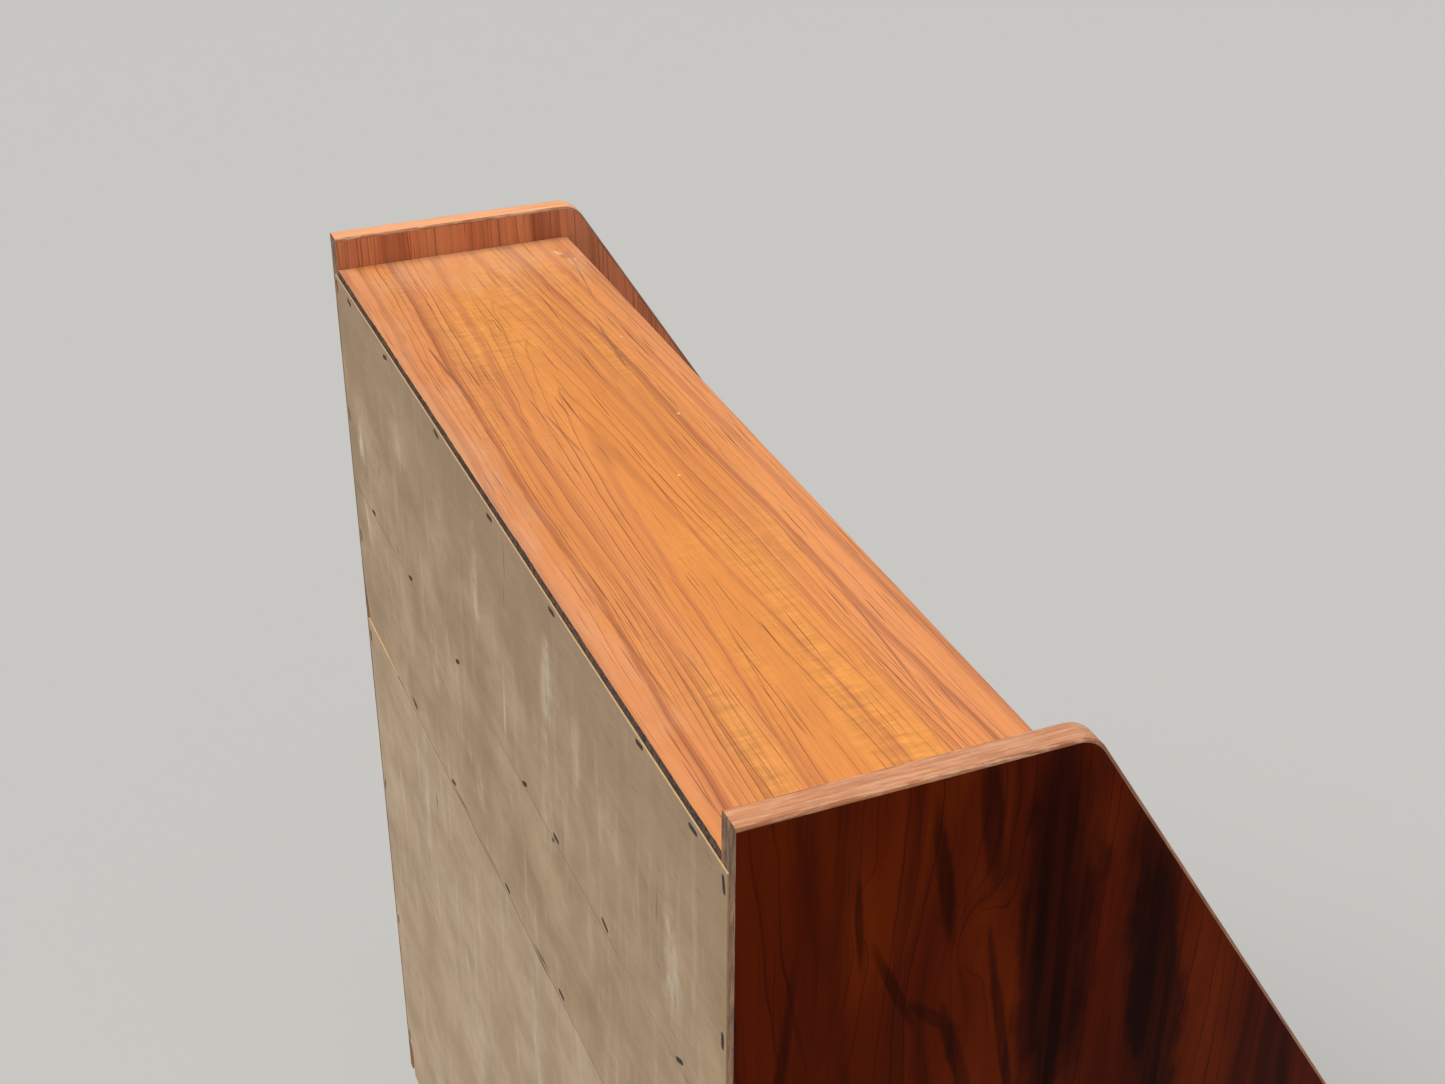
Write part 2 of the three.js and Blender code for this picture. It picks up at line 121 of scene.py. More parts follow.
def make_floor():
    """A matt disc whose rim curves up all round, so that no view shows an edge."""
    turns = [math.radians(3 * i) for i in range(1, 31)]
    sweep = [(FLAT_FLOOR, 0.0)]
    sweep += [(FLAT_FLOOR + SWEEP_R * math.sin(a), SWEEP_R * (1 - math.cos(a))) for a in turns]
    sweep.append((FLAT_FLOOR + SWEEP_R, SWEEP_TOP))
    shape = bmesh.new()
    around = [math.tau * i / SWEEP_SIDES for i in range(SWEEP_SIDES)]
    rings = [[shape.verts.new((r * math.cos(a), r * math.sin(a), z)) for a in around] for r, z in sweep]
    shape.faces.new(rings[0])
    for inner, outer in zip(rings, rings[1:]):
        for i in range(SWEEP_SIDES):
            j = (i + 1) % SWEEP_SIDES
            shape.faces.new((inner[i], inner[j], outer[j], outer[i])).smooth = True
    floor = bpy.data.objects.new("floor_sweep", bpy.data.meshes.new("floor_sweep"))
    shape.to_mesh(floor.data)
    shape.free()
    bpy.context.scene.collection.objects.link(floor)
    paint = bpy.data.materials.new("pale_floor")
    paint.use_nodes = True
    shader = paint.node_tree.nodes["Principled BSDF"]
    shader.inputs["Base Color"].default_value = FLOOR_COLOUR
    shader.inputs["Roughness"].default_value = 0.8
    shader.inputs["Specular IOR Level"].default_value = 0.1
    floor.data.materials.append(paint)
    floor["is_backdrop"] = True


bpy.context.scene.view_settings.view_transform = "Standard"
make_camera()
make_lights()
make_floor()


# Side panels: veneered boards cut to the bureau's outline, lipped with solid teak on the top, sloping
# and front edges, with the arrises rounded over by hand and a raw back edge rabbeted for the plywood.
def linear(code):
    """A colour for a shader socket from its sRGB hex code."""
    parts = [int(code[i:i + 2], 16) / 255 for i in (1, 3, 5)]
    return (*(p / 12.92 if p <= 0.04045 else ((p + 0.055) / 1.055) ** 2.4 for p in parts), 1)


MODES = {"Math": "operation", "VectorMath": "operation", "MixRGB": "blend_type", "Mapping": "vector_type",
         "MapRange": "interpolation_type", "VectorRotate": "rotation_type"}


def add(tree, kind, *values, **named):
    """Adds one node and gives its outputs. The kind is its type and, after a space, its mode. Values fill
    its inputs in order, named ones by name; each is a number, vector, colour or another node's output."""
    kind, _, mode = kind.partition(" ")
    node = tree.nodes.new("ShaderNode" + kind)
    if mode:
        setattr(node, MODES[kind], mode)
    for name, value in (*enumerate(values), *named.items()):
        if isinstance(value, (list, bpy.types.bpy_prop_collection)):
            value = value[0]
        if isinstance(value, bpy.types.NodeSocket):
            tree.links.new(value, node.inputs[name])
        else:
            node.inputs[name].default_value = value
    return node.outputs


def grain_frame(tree, grain, lean=0.0):
    """Millimetres along the grain, across it and through the board, as one vector."""
    place = add(tree, "TexCoord")["Object"]
    if lean:
        place = add(tree, "VectorRotate X_AXIS", Vector=place, Angle=lean)
    axes = add(tree, "SeparateXYZ", add(tree, "VectorMath SCALE", place, Scale=1 / MM))
    return add(tree, "CombineXYZ", *(axes["XYZ".index(a)] for a in grain))


def mottle(tree, place, lengths, seed, detail=2.0, rough=0.5, band=()):
    """Noise whose patches have these lengths in millimetres along, across and through the board. A band
    makes it 0 below its lower value and 1 above its upper one."""
    scaled = add(tree, "VectorMath MULTIPLY_ADD", place, tuple(1 / n for n in lengths),
                 (seed * 7.31, seed * 3.17, seed * 5.77))
    patches = add(tree, "TexNoise", Vector=scaled, Scale=1.0, Detail=detail, Roughness=rough)[:1]
    return add(tree, "MapRange SMOOTHSTEP", patches, *band) if band else patches


def blots(tree, place, marks, seed, fray=0.35, soft=0.5):
    """One mask over soft blots; a mark is (along, across, half length, half width, lean, strength)."""
    stirred = add(tree, "VectorMath MULTIPLY_ADD", place, (1 / 46, 1 / 17, 1 / 30),
                  (seed * 3.7, seed * 1.9, seed))
    stir = add(tree, "TexNoise", Vector=stirred, Detail=3.0, Scale=1.0)["Color"]
    stir = add(tree, "VectorMath SUBTRACT", stir, (0.5, 0.5, 0.5))
    whole = None
    for along, across, long, wide, lean, strength in marks:
        local = add(tree, "Mapping TEXTURE", Vector=place, Location=(along, across, 0),
                    Rotation=(0, 0, math.radians(lean)), Scale=(long, wide, 1))
        frayed = add(tree, "VectorMath MULTIPLY_ADD", stir, (fray, fray * 2.4, 0), local)
        flat = add(tree, "VectorMath MULTIPLY", frayed, (1, 1, 0))
        away = add(tree, "VectorMath LENGTH", flat)["Value"]
        one = add(tree, "MapRange SMOOTHSTEP", away, soft, 1.15, strength, 0.0)
        whole = one if whole is None else add(tree, "Math MAXIMUM", whole, one)
    return whole


def new_material(name):
    """An empty material and its node tree."""
    material = bpy.data.materials.new(name)
    material.use_nodes = True
    return material, material.node_tree


def tinted(tree, colour, tone):
    """A colour made lighter or darker by a tone near 1."""
    return add(tree, "MixRGB MULTIPLY", 1.0, colour, add(tree, "CombineXYZ", tone, tone, tone))


def surface(tree, colour, roughness, relief=None, deep=0.0, strength=0.5):
    """Links colour, roughness and a relief this deep to the material's shader, and gives the shader."""
    shader = tree.nodes["Principled BSDF"]
    tree.links.new(colour[0], shader.inputs["Base Color"])
    if isinstance(roughness, float):
        shader.inputs["Roughness"].default_value = roughness
    else:
        tree.links.new(roughness[0], shader.inputs["Roughness"])
    if relief:
        bump = add(tree, "Bump", Strength=strength, Distance=deep, Height=relief)
        tree.links.new(bump[0], shader.inputs["Normal"])
    return shader


def growth(tree, place, seed, ring, crown, depth, rise, start, wander, knots, point):
    """Millimetres from the pith, and sideways from it; drift and shake bend rings, knots swell them."""
    along, across, _ = add(tree, "SeparateXYZ", place)
    drift = mottle(tree, place, (330, 95, 60), seed, 1.2)
    drift = add(tree, "Math MULTIPLY_ADD", drift, wander, -wander / 2)
    shake = mottle(tree, place, (75, 17, 30), seed + 1, 1.5)
    shake = add(tree, "Math MULTIPLY_ADD", shake, wander / 5, -wander / 10)
    sideways = add(tree, "Math SUBTRACT", across, crown)
    sideways = add(tree, "Math ADD", add(tree, "Math ADD", sideways, drift), shake)
    below = add(tree, "Math MULTIPLY_ADD", add(tree, "Math SUBTRACT", along, start), rise, depth)
    square = add(tree, "Math POWER", add(tree, "Math ABSOLUTE", sideways), point)
    square = add(tree, "Math ADD", square, add(tree, "Math POWER", below, point))
    radius = add(tree, "Math POWER", square, 1 / point)
    for knot_along, knot_across, reach, turns in knots:
        local = add(tree, "Mapping TEXTURE", Vector=place, Location=(knot_along, knot_across, 0),
                    Scale=(reach * 1.9, reach, 1))
        squared = add(tree, "VectorMath DOT_PRODUCT", local, local)["Value"]
        swell = add(tree, "Math EXPONENT", add(tree, "Math MULTIPLY", squared, -1.0))
        radius = add(tree, "Math ADD", radius, add(tree, "Math MULTIPLY", swell, turns * ring))
    return radius, sideways


RING_DARKNESS = ((0.50, 0.05), (0.84, 0.22), (0.92, 1.0), (0.97, 0.45))


def teak(name, grain, tones, seed, ring=7.0, crown=0.0, depth=30.0, rise=0.05, start=0.0, wander=20.0,
         dark_years=(), soft=0.35, lines=0.6, glow=0.6, glow_width=0.0, ripple=0.5, pores=0.5,
         rough=0.42, gloss=0.5, lean=0.0, knots=(), stains=(), stain="#200300", rubs_and_sheen=(), point=1.5,
         front_flush=1.0):
    """Oiled teak veneer: nested growth rings cut nearly along the log, each ending in a thin dark line,
    a few dark years drawn as soft brown bands, pores as fine dashes, golden ripple where fibres wave.
    Lengths are millimetres; a dark year is (radius, width, strength) and a knot is (along, across, reach,
    rings). Pores are drawn about three times their real width so that they show."""
    base, gold, rose, band, line = (linear(code) for code in tones)
    material, tree = new_material(name)
    along, across, _ = add(tree, "SeparateXYZ", grain_frame(tree, grain, lean))
    place = add(tree, "CombineXYZ", along, across)
    radius, sideways = growth(tree, place, seed, ring, crown, depth, rise, start, wander, knots, point)
    aside = add(tree, "Math ABSOLUTE", sideways)
    phase = add(tree, "Math DIVIDE", radius, ring)

    late = add(tree, "FloatCurve", Value=add(tree, "Math FRACT", phase))
    curve = late[0].node.mapping.curves[0]
    curve.points[0].location = (0, 0)
    curve.points[1].location = (1, 0)
    for share, darkness in RING_DARKNESS:
        curve.points.new(share, darkness)
    late[0].node.mapping.update()
    ring_number = add(tree, "Math MULTIPLY", add(tree, "Math FLOOR", phase), 1.73)
    by_ring = add(tree, "CombineXYZ", add(tree, "Math MULTIPLY", along, 1 / 380), ring_number, seed * 2.3)
    firm = add(tree, "TexNoise", Vector=by_ring, Scale=1.0, Detail=1.0)[:1]
    flank = add(tree, "MapRange SMOOTHSTEP", aside, 3, 26)
    flank = add(tree, "Math MULTIPLY_ADD", flank, 0.72, 0.28)
    late = add(tree, "Math MULTIPLY", late, add(tree, "MapRange SMOOTHSTEP", firm, 0.34, 0.70))
    late = add(tree, "Math MULTIPLY", late, flank)

    along_ring = add(tree, "CombineXYZ", add(tree, "Math MULTIPLY", along, 1 / 600),
                     add(tree, "Math MULTIPLY", phase, 0.33), seed * 1.7)
    broad = add(tree, "TexNoise", Vector=along_ring, Scale=1.0, Detail=3.0, Roughness=0.5)[:1]
    broad = add(tree, "MapRange SMOOTHSTEP", broad, 0.44, 0.72)
    fine = mottle(tree, place, (130, 1.5, 20), seed + 4, 2, 0.6)
    fibre = mottle(tree, place, (240, 9, 20), seed + 3, 3, 0.6)
    pore = mottle(tree, place, (26, 0.6, 6), seed + 5, 1, band=(0.60, 0.76))
    long_pore = mottle(tree, place, (85, 1.0, 9), seed + 6, 1, band=(0.655, 0.72))
    waves = mottle(tree, place, (3.6, 15, 20), seed + 7, 1)
    wavy = mottle(tree, place, (190, 48, 40), seed + 8, 2, band=(0.40, 0.74))
    if glow_width:
        inward = add(tree, "MapRange SMOOTHSTEP", aside, 1.2 * glow_width, 0.5 * glow_width)
        wavy = add(tree, "Math MULTIPLY", wavy, inward)
    edge = add(tree, "Math MAXIMUM", sideways, add(tree, "Math MULTIPLY", sideways, -front_flush))
    flush = mottle(tree, place, (520, 70, 60), seed + 9, 2)
    flush = add(tree, "Math ADD", flush, add(tree, "Math MULTIPLY", edge, 1 / 210))
    flush = add(tree, "MapRange SMOOTHSTEP", flush, 0.42, 0.96)

    colour = add(tree, "MixRGB", flush, base, rose)
    colour = add(tree, "MixRGB", add(tree, "Math MULTIPLY", wavy, glow), colour, gold)
    colour = add(tree, "MixRGB", add(tree, "Math MULTIPLY", broad, soft), colour, band)
    for year, width, strength in dark_years:
        off = add(tree, "Math ABSOLUTE", add(tree, "Math SUBTRACT", radius, year))
        swing = add(tree, "Math MULTIPLY_ADD", firm, 0.5 * width, 0.6 * width)
        away = add(tree, "MapRange SMOOTHSTEP", add(tree, "Math DIVIDE", off, swing), 0.15, 1.0)
        near = add(tree, "Math SUBTRACT", 1.0, away)
        colour = add(tree, "MixRGB", add(tree, "Math MULTIPLY", near, strength), colour, band)
    colour = add(tree, "MixRGB", add(tree, "Math MULTIPLY", late, lines), colour, line)
    shade = add(tree, "Math MULTIPLY_ADD", fine, 0.26, 0.87)
    shade = add(tree, "Math MULTIPLY", shade, add(tree, "Math MULTIPLY_ADD", fibre, 0.30, 0.85))
    rippled = add(tree, "Math MULTIPLY", add(tree, "Math SUBTRACT", waves, 0.5), wavy)
    rippled = add(tree, "Math MULTIPLY_ADD", rippled, ripple, 1.0)
    colour = tinted(tree, colour, add(tree, "Math MULTIPLY", shade, rippled))
    dark = add(tree, "Math MAXIMUM", add(tree, "Math MULTIPLY", pore, 0.4), long_pore)
    dark = add(tree, "Math MULTIPLY", dark, pores)
    colour = add(tree, "MixRGB", dark, colour, line)
    if stains:
        heart = blots(tree, place, stains, seed, 0.5, 0.6)
        heart = add(tree, "Math MULTIPLY", heart, add(tree, "Math MULTIPLY_ADD", fibre, 1.5, 0.1))
        colour = add(tree, "MixRGB", add(tree, "Clamp", heart), colour, linear(stain))
    # Pale blots: small rubbed spots, and large soft ones that are painted sheen on the finish.
    if rubs_and_sheen:
        pale_rubs_and_sheen = blots(tree, place, rubs_and_sheen, seed + 2, 0.9, 0.1)
        colour = add(tree, "MixRGB", pale_rubs_and_sheen, colour, linear("#f2cfb4"))

    dull = add(tree, "Math MULTIPLY_ADD", fine, 0.16, rough - 0.08)
    dull = add(tree, "Math ADD", dull, add(tree, "Math MULTIPLY", dark, 0.2))
    relief = add(tree, "Math SUBTRACT", add(tree, "Math MULTIPLY", fine, 0.25), dark)
    surface(tree, colour, dull, relief, 0.08 * MM).inputs["Specular IOR Level"].default_value = gloss
    return material


def lipping(name, grain, tones, seed, rough=0.45, scuff=0.0, lean=0.0):
    """Solid teak, planed and oiled: straight grain, short pores, and on arrises the pale rubbed wood."""
    base, deep, pale = (linear(code) for code in tones)
    material, tree = new_material(name)
    place = grain_frame(tree, grain, lean)
    fibre = mottle(tree, place, (120, 2.2, 2.2), seed, 3, 0.6)
    pore = mottle(tree, place, (14, 0.5, 0.5), seed + 1, 1, band=(0.60, 0.70))
    patch = mottle(tree, place, (90, 14, 14), seed + 2, 2)
    worn = mottle(tree, place, (26, 3, 3), seed + 3, 4, 0.7, band=(0.44, 0.62))
    colour = add(tree, "MixRGB", add(tree, "MapRange SMOOTHSTEP", fibre, 0.3, 0.75), base, deep)
    colour = add(tree, "MixRGB", add(tree, "Math MULTIPLY", pore, 0.45), colour, deep)
    colour = add(tree, "MixRGB", add(tree, "Math MULTIPLY", worn, scuff), colour, pale)
    colour = tinted(tree, colour, add(tree, "Math MULTIPLY_ADD", patch, 0.5, 0.75))
    dull = add(tree, "Math MULTIPLY_ADD", fibre, 0.2, rough - 0.1)
    surface(tree, colour, dull, add(tree, "Math SUBTRACT", fibre, pore), 0.12 * MM)
    return material


def raw_edge(name, tones, seed, crumb=(3.2, 3.2, 3.2)):
    """A board's unfinished back edge: sawn, never oiled, grey-brown with dirt in the open fibres."""
    base, dirt, pale = (linear(code) for code in tones)
    material, tree = new_material(name)
    place = grain_frame(tree, "XYZ")
    crumbs = mottle(tree, place, crumb, seed, 5, 0.65)
    stain = mottle(tree, place, (28, 28, 28), seed + 1, 3, band=(0.5, 0.7))
    fleck = mottle(tree, place, (1.6, 1.6, 1.6), seed + 2, 2, band=(0.62, 0.72))
    colour = add(tree, "MixRGB", add(tree, "MapRange SMOOTHSTEP", crumbs, 0.38, 0.62), dirt, base)
    colour = add(tree, "MixRGB", add(tree, "Math MULTIPLY", stain, 0.6), colour, dirt)
    colour = add(tree, "MixRGB", add(tree, "Math MULTIPLY", fleck, 0.5), colour, pale)
    surface(tree, colour, 0.85, crumbs, 0.5 * MM, 0.8)
    return material


def welded(node):
    """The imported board's mesh with its corners welded and its flat faces each in one piece."""
    shape = bmesh.new()
    shape.from_mesh(frame["nodes"][node].data)
    bmesh.ops.remove_doubles(shape, verts=shape.verts, dist=0.01 * MM)
    bmesh.ops.dissolve_limit(shape, angle_limit=math.radians(1), verts=shape.verts, edges=shape.edges)
    for face in shape.faces:
        face.material_index = 0
    return shape


def ease(shape, radius, choose=lambda edge: True, segments=2, material=-1):
    """Rounds the sharp arrises that choose picks."""
    sharp = [e for e in shape.edges
             if e.is_manifold and e.calc_face_angle(0) > math.radians(20) and choose(e)]
    bmesh.ops.bevel(shape, geom=sharp, offset=radius, segments=segments, profile=0.5, affect="EDGES",
                    material=material, clamp_overlap=True)


def settle(name, shape, materials, node=None, body=None, smooth=32):
    """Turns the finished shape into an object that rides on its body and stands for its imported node."""
    mesh = bpy.data.meshes.new(name)
    bmesh.ops.recalc_face_normals(shape, faces=shape.faces)
    shape.to_mesh(mesh)
    shape.free()
    for material in materials:
        mesh.materials.append(material)
    mesh.polygons.foreach_set("use_smooth", [True] * len(mesh.polygons))
    mesh.set_sharp_from_angle(angle=math.radians(smooth))
    piece = bpy.data.objects.new(name, mesh)
    bpy.context.scene.collection.objects.link(piece)
    if node:
        body = body or next(b for b, members in bodies.items() if node in members)
        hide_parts(node)
    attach(piece, body)
    return piece


def paint(shape, choose):
    """Gives each face the number of its material from its outward direction and middle."""
    shape.normal_update()
    for face in shape.faces:
        face.material_index = choose(face.normal, face.calc_center_median())


LIPPING_ARRIS = 2.2 * MM
SAWN_ARRIS = 0.35 * MM
# Lit and shaded copies of one teak: shade_tones are darkened with painted shade for the side boards' outer faces,
# and the inner tones are brightened with painted light for the sides' inner faces, the undersides and the inside
# of the back.
shade_tones = ("#661e00", "#7a2b00", "#5a1700", "#240500", "#1c0300")
inner_tones_painted_light = ("#e5915a", "#e8a566", "#e08a5e", "#a35a34", "#6f3a20")
left_stains = (
    (965, 27, 165, 31, 2, 1.0), (905, -50, 150, 24, 9, 1.0), (1070, 76, 52, 8, 8, 0.75),
    (1040, 104, 58, 6, 9, 0.7), (965, 131, 44, 4, 22, 0.6), (934, 105, 30, 5, 48, 0.6),
    (890, 85, 60, 6, 16, 0.7), (900, 56, 90, 4, 10, 0.75), (1022, 155, 34, 3, 3, 0.7),
    (1000, -84, 70, 9, 28, 0.7), (860, 206, 150, 5, -5, 0.6), (760, 150, 180, 6, 4, 0.65),
    (600, 62, 240, 11, 3, 0.8), (540, -118, 260, 12, -3, 0.75), (330, 140, 210, 8, 4, 0.65),
    (300, 0, 200, 13, -2, 0.75), (680, -176, 180, 7, 6, 0.65), (470, -30, 160, 5, 5, 0.6))
right_stains = (
    (980, 96, 140, 12, -4, 0.8), (800, 10, 260, 14, 3, 0.85), (540, 120, 240, 9, -3, 0.7),
    (690, -110, 200, 10, 4, 0.75), (400, -40, 260, 13, 0, 0.8), (300, 160, 180, 7, 5, 0.6),
    (260, -160, 140, 7, -4, 0.6))
left_knots = ((1029, 152, 9, 2.2), (984, 78, 12, 3.4), (955, 100, 38, 2.0), (610, -40, 15, 3.0),
              (420, 110, 12, 2.6))
right_knots = ((860, 90, 14, 3.2), (480, -60, 12, 2.4))
outer_look = {"soft": 0.65, "lines": 0.6, "glow": 0.8, "ripple": 0.2, "pores": 0.35, "rough": 0.42,
              "gloss": 0.03}
left_outer = teak("teak_veneer_left", "ZYX", shade_tones, 3, ring=9, crown=181, depth=23.5, rise=-0.12,
                  start=919, wander=46, knots=left_knots, stains=left_stains, **outer_look)
right_outer = teak("teak_veneer_right", "ZYX", shade_tones, 14, ring=10, crown=20, depth=30, rise=-0.10,
                   start=700, wander=60, knots=right_knots, stains=right_stains, **outer_look)
inner_veneer = teak("teak_veneer_inner_sides", "ZYX", inner_tones_painted_light, 5, ring=7, crown=320, depth=80,
                    rise=0.02, wander=20, soft=0.95, lines=0.7, ripple=0.15, rough=0.45, gloss=0.3)
lip = lipping("solid_teak_lipping", "YXZ", ("#cf8b60", "#a9683f", "#ecc19c"), 2, scuff=0.25)
# A lighter copy of the lipping for the right board's top edge: painted sheen of light glancing off it.
painted_sheen_lip = lipping("solid_teak_lipping_painted_sheen", "YXZ", ("#fdb27c", "#df9460", "#f8d2a6"), 7)
flap_hinge = next(j for j in frame["joints"] if j["name"] == "flap_hinge")
lean = math.radians(flap_hinge["range_deg"][1] - 90)
slope_lip = lipping("solid_teak_slope_lipping", "ZXY", ("#c88358", "#a0603a", "#ecc19c"), 15, lean=lean)
front_edge = lipping("solid_teak_front_lipping", "ZXY", ("#c88358", "#a0603a", "#ecc19c"), 18)
rubbed = lipping("solid_teak_rubbed_arris", "YXZ", ("#ba754b", "#8d5232", "#e6bd98"), 4, scuff=0.6)
# A darker copy of the rubbed arris wood for the arrises toward the front: painted shade over the wear.
slope_rubs_painted_shade = lipping("solid_teak_slope_rubs_painted_shade", "ZXY", ("#a8643c", "#7d4628", "#d9a67c"), 20,
                       scuff=0.35, lean=lean)
sawn = raw_edge("sawn_board_edge", ("#987458", "#5e4636", "#b2937a"), 6, (1.8, 2.4, 16))

# The right board's top lipping is the lighter copy with painted sheen.
for hand, outer, edge in (("left", left_outer, lip), ("right", right_outer, painted_sheen_lip)):
    node = f"side_panel_{hand}"
    low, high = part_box(node)
    shape = welded(node)
    away = -1 if hand == "left" else 1

    def side_face(normal, middle):
        if abs(normal.x) > 0.9:
            return 0 if normal.x * away > 0 else 1
        if normal.y > 0.9 or middle.y > high.y - 4 * MM and normal.z < 0.5 or normal.z < -0.9:
            return 4
        return 2 if normal.z > 0.75 else 5 if normal.z > 0.2 else 6

    def lipped(edge):
        """Any edge but those of the foot and of the raw back, whose upright ones stay sharp too."""
        a, b = (v.co for v in edge.verts)
        at_foot = max(a.z, b.z) < low.z + 1 * MM
        at_back = min(a.y, b.y) > high.y - 5 * MM
        upright_back = max(a.y, b.y) > high.y - 5 * MM and abs(a.z - b.z) > 5 * MM
        return not (at_foot or at_back or upright_back)

    paint(shape, side_face)
    ease(shape, LIPPING_ARRIS, lipped, 3, 3)
    # Rubbed arrises more than 215 mm before the back edge, on the slope and the front, take the darker copy:
    # painted shade.
    for face in shape.faces:
        if face.material_index == 3 and face.calc_center_median().y < high.y - 215 * MM:
            face.material_index = 7
    settle(f"side_board_{hand}", shape, [outer, inner_veneer, edge, rubbed, sawn, slope_lip, front_edge,
           slope_rubs_painted_shade], node)


# Top board: blockboard with a crown-cut teak veneer laid along it, glued between the sides a gallery's
# height below their edges. Its back edge is left raw, and the veneer's own edge has chipped along it.
VENEER_CHIP = 0.9 * MM
CHIP_STEPS = 360
top_tones = ("#d88741", "#e29c48", "#de8d55", "#ae643b", "#7c4226")
top_streaks = (
    (383, 37, 9, 6, 0, 0.35), (197, 199, 52, 1.5, 3, 0.75), (195, 64, 56, 1.4, -5, 0.7),
    (330, 40, 60, 1.2, -8, 0.5), (60, 150, 40, 1.2, 4, 0.6), (-220, 205, 90, 1.1, 2, 0.5),
    (-300, 60, 110, 1.1, -3, 0.6))
# Pale marks on the top: small rubbed spots; a long faint pale band along the board; and the large soft blot at the
# right-hand end, which is a painted reflection of light on the finish.
top_rubs_and_sheen = (
    (391, 41, 9, 4, 25, 0.6), (372, 33, 4, 2, 0, 0.5), (60, 60, 2, 1.5, 0, 0.8),
    (-30, 96, 2, 1.5, 0, 0.7), (205, 52, 2, 1.2, 0, 0.6), (440, 110, 130, 190, 0, 0.2),
    (0, 236, 520, 34, 0, 0.17))
top_years = ((86, 4.8, 0.75), (36, 3.2, 0.4), (108, 4.0, 0.55), (62, 3.0, 0.4))
# The rosy flush grows away from the figure's crown, mostly toward the back as front_flush is 0.3: partly the
# wood's own hue and partly painted sheen where the top is seen at a glancing angle.
top_veneer = teak("teak_veneer_top", "XYZ", top_tones, 8, ring=4.6, crown=130, depth=12, rise=0.052,
                  start=-425, wander=20, dark_years=top_years, soft=0.5, lines=0.95, glow=0.5,
                  glow_width=85, ripple=0.6, pores=0.9, rough=0.42, gloss=0.35, stains=top_streaks,
                  stain="#8a5236", rubs_and_sheen=top_rubs_and_sheen, front_flush=0.3)
under_veneer = teak("teak_veneer_undersides", "XYZ", inner_tones_painted_light, 9, ring=8, crown=40, depth=60,
                    rise=0.03, wander=30, ripple=0.3, rough=0.5, gloss=0.3)
raw_core = raw_edge("raw_board_core", ("#5b4231", "#241913", "#8d7259"), 11)
front_lip = lipping("solid_teak_front_edges", "XYZ", ("#c27c4a", "#9c5c34", "#dcae82"), 12)


def chip_edge(shape, at_y, at_z, depth, seed):
    """Breaks the veneer's straight back edge into small irregular chips."""
    place = Vector((at_y, at_z))
    edge = next(e for e in shape.edges if all((v.co.yz - place).length < 0.1 * MM for v in e.verts))
    cut = bmesh.ops.subdivide_edges(shape, edges=[edge], cuts=CHIP_STEPS)
    for vert in (v for v in cut["geom_inner"] if isinstance(v, bmesh.types.BMVert)):
        ragged = noise.noise(Vector((vert.co.x * 160, seed, 0))) * 0.5 + noise.noise(
            Vector((vert.co.x * 22, seed, 4))) * 0.8
        vert.co.y -= depth * max(0.0, ragged)


shape = welded("top_board")
low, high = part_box("top_board")
paint(shape, lambda normal, middle: 0 if normal.z > 0.9 else 1 if middle.z < low.z + 1 * MM
      else 2 if normal.y > 0.5 or middle.y > high.y - 5 * MM else 3)
ease(shape, 0.7 * MM, lambda e: max(v.co.y for v in e.verts) < low.y + 1 * MM)
chip_edge(shape, high.y, high.z, VENEER_CHIP, 1.7)
settle("top_board_veneered", shape, [top_veneer, under_veneer, raw_core, front_lip], "top_board")


# Plywood back: two 4 mm sheets, never finished, held by staples that have rusted into the face ply.
# Years against walls have left dust, pale rubbed smudges and dark marks along the boards behind.
WAVE = 0.25 * MM
SPRING = 1.6 * MM
SPRING_REACH = 130 * MM
SPRING_RISE = 50 * MM
SHEET_STEP = 12 * MM
STAPLE_CROWN = 9.5 * MM
STAPLE_WIRE = 1.15 * MM


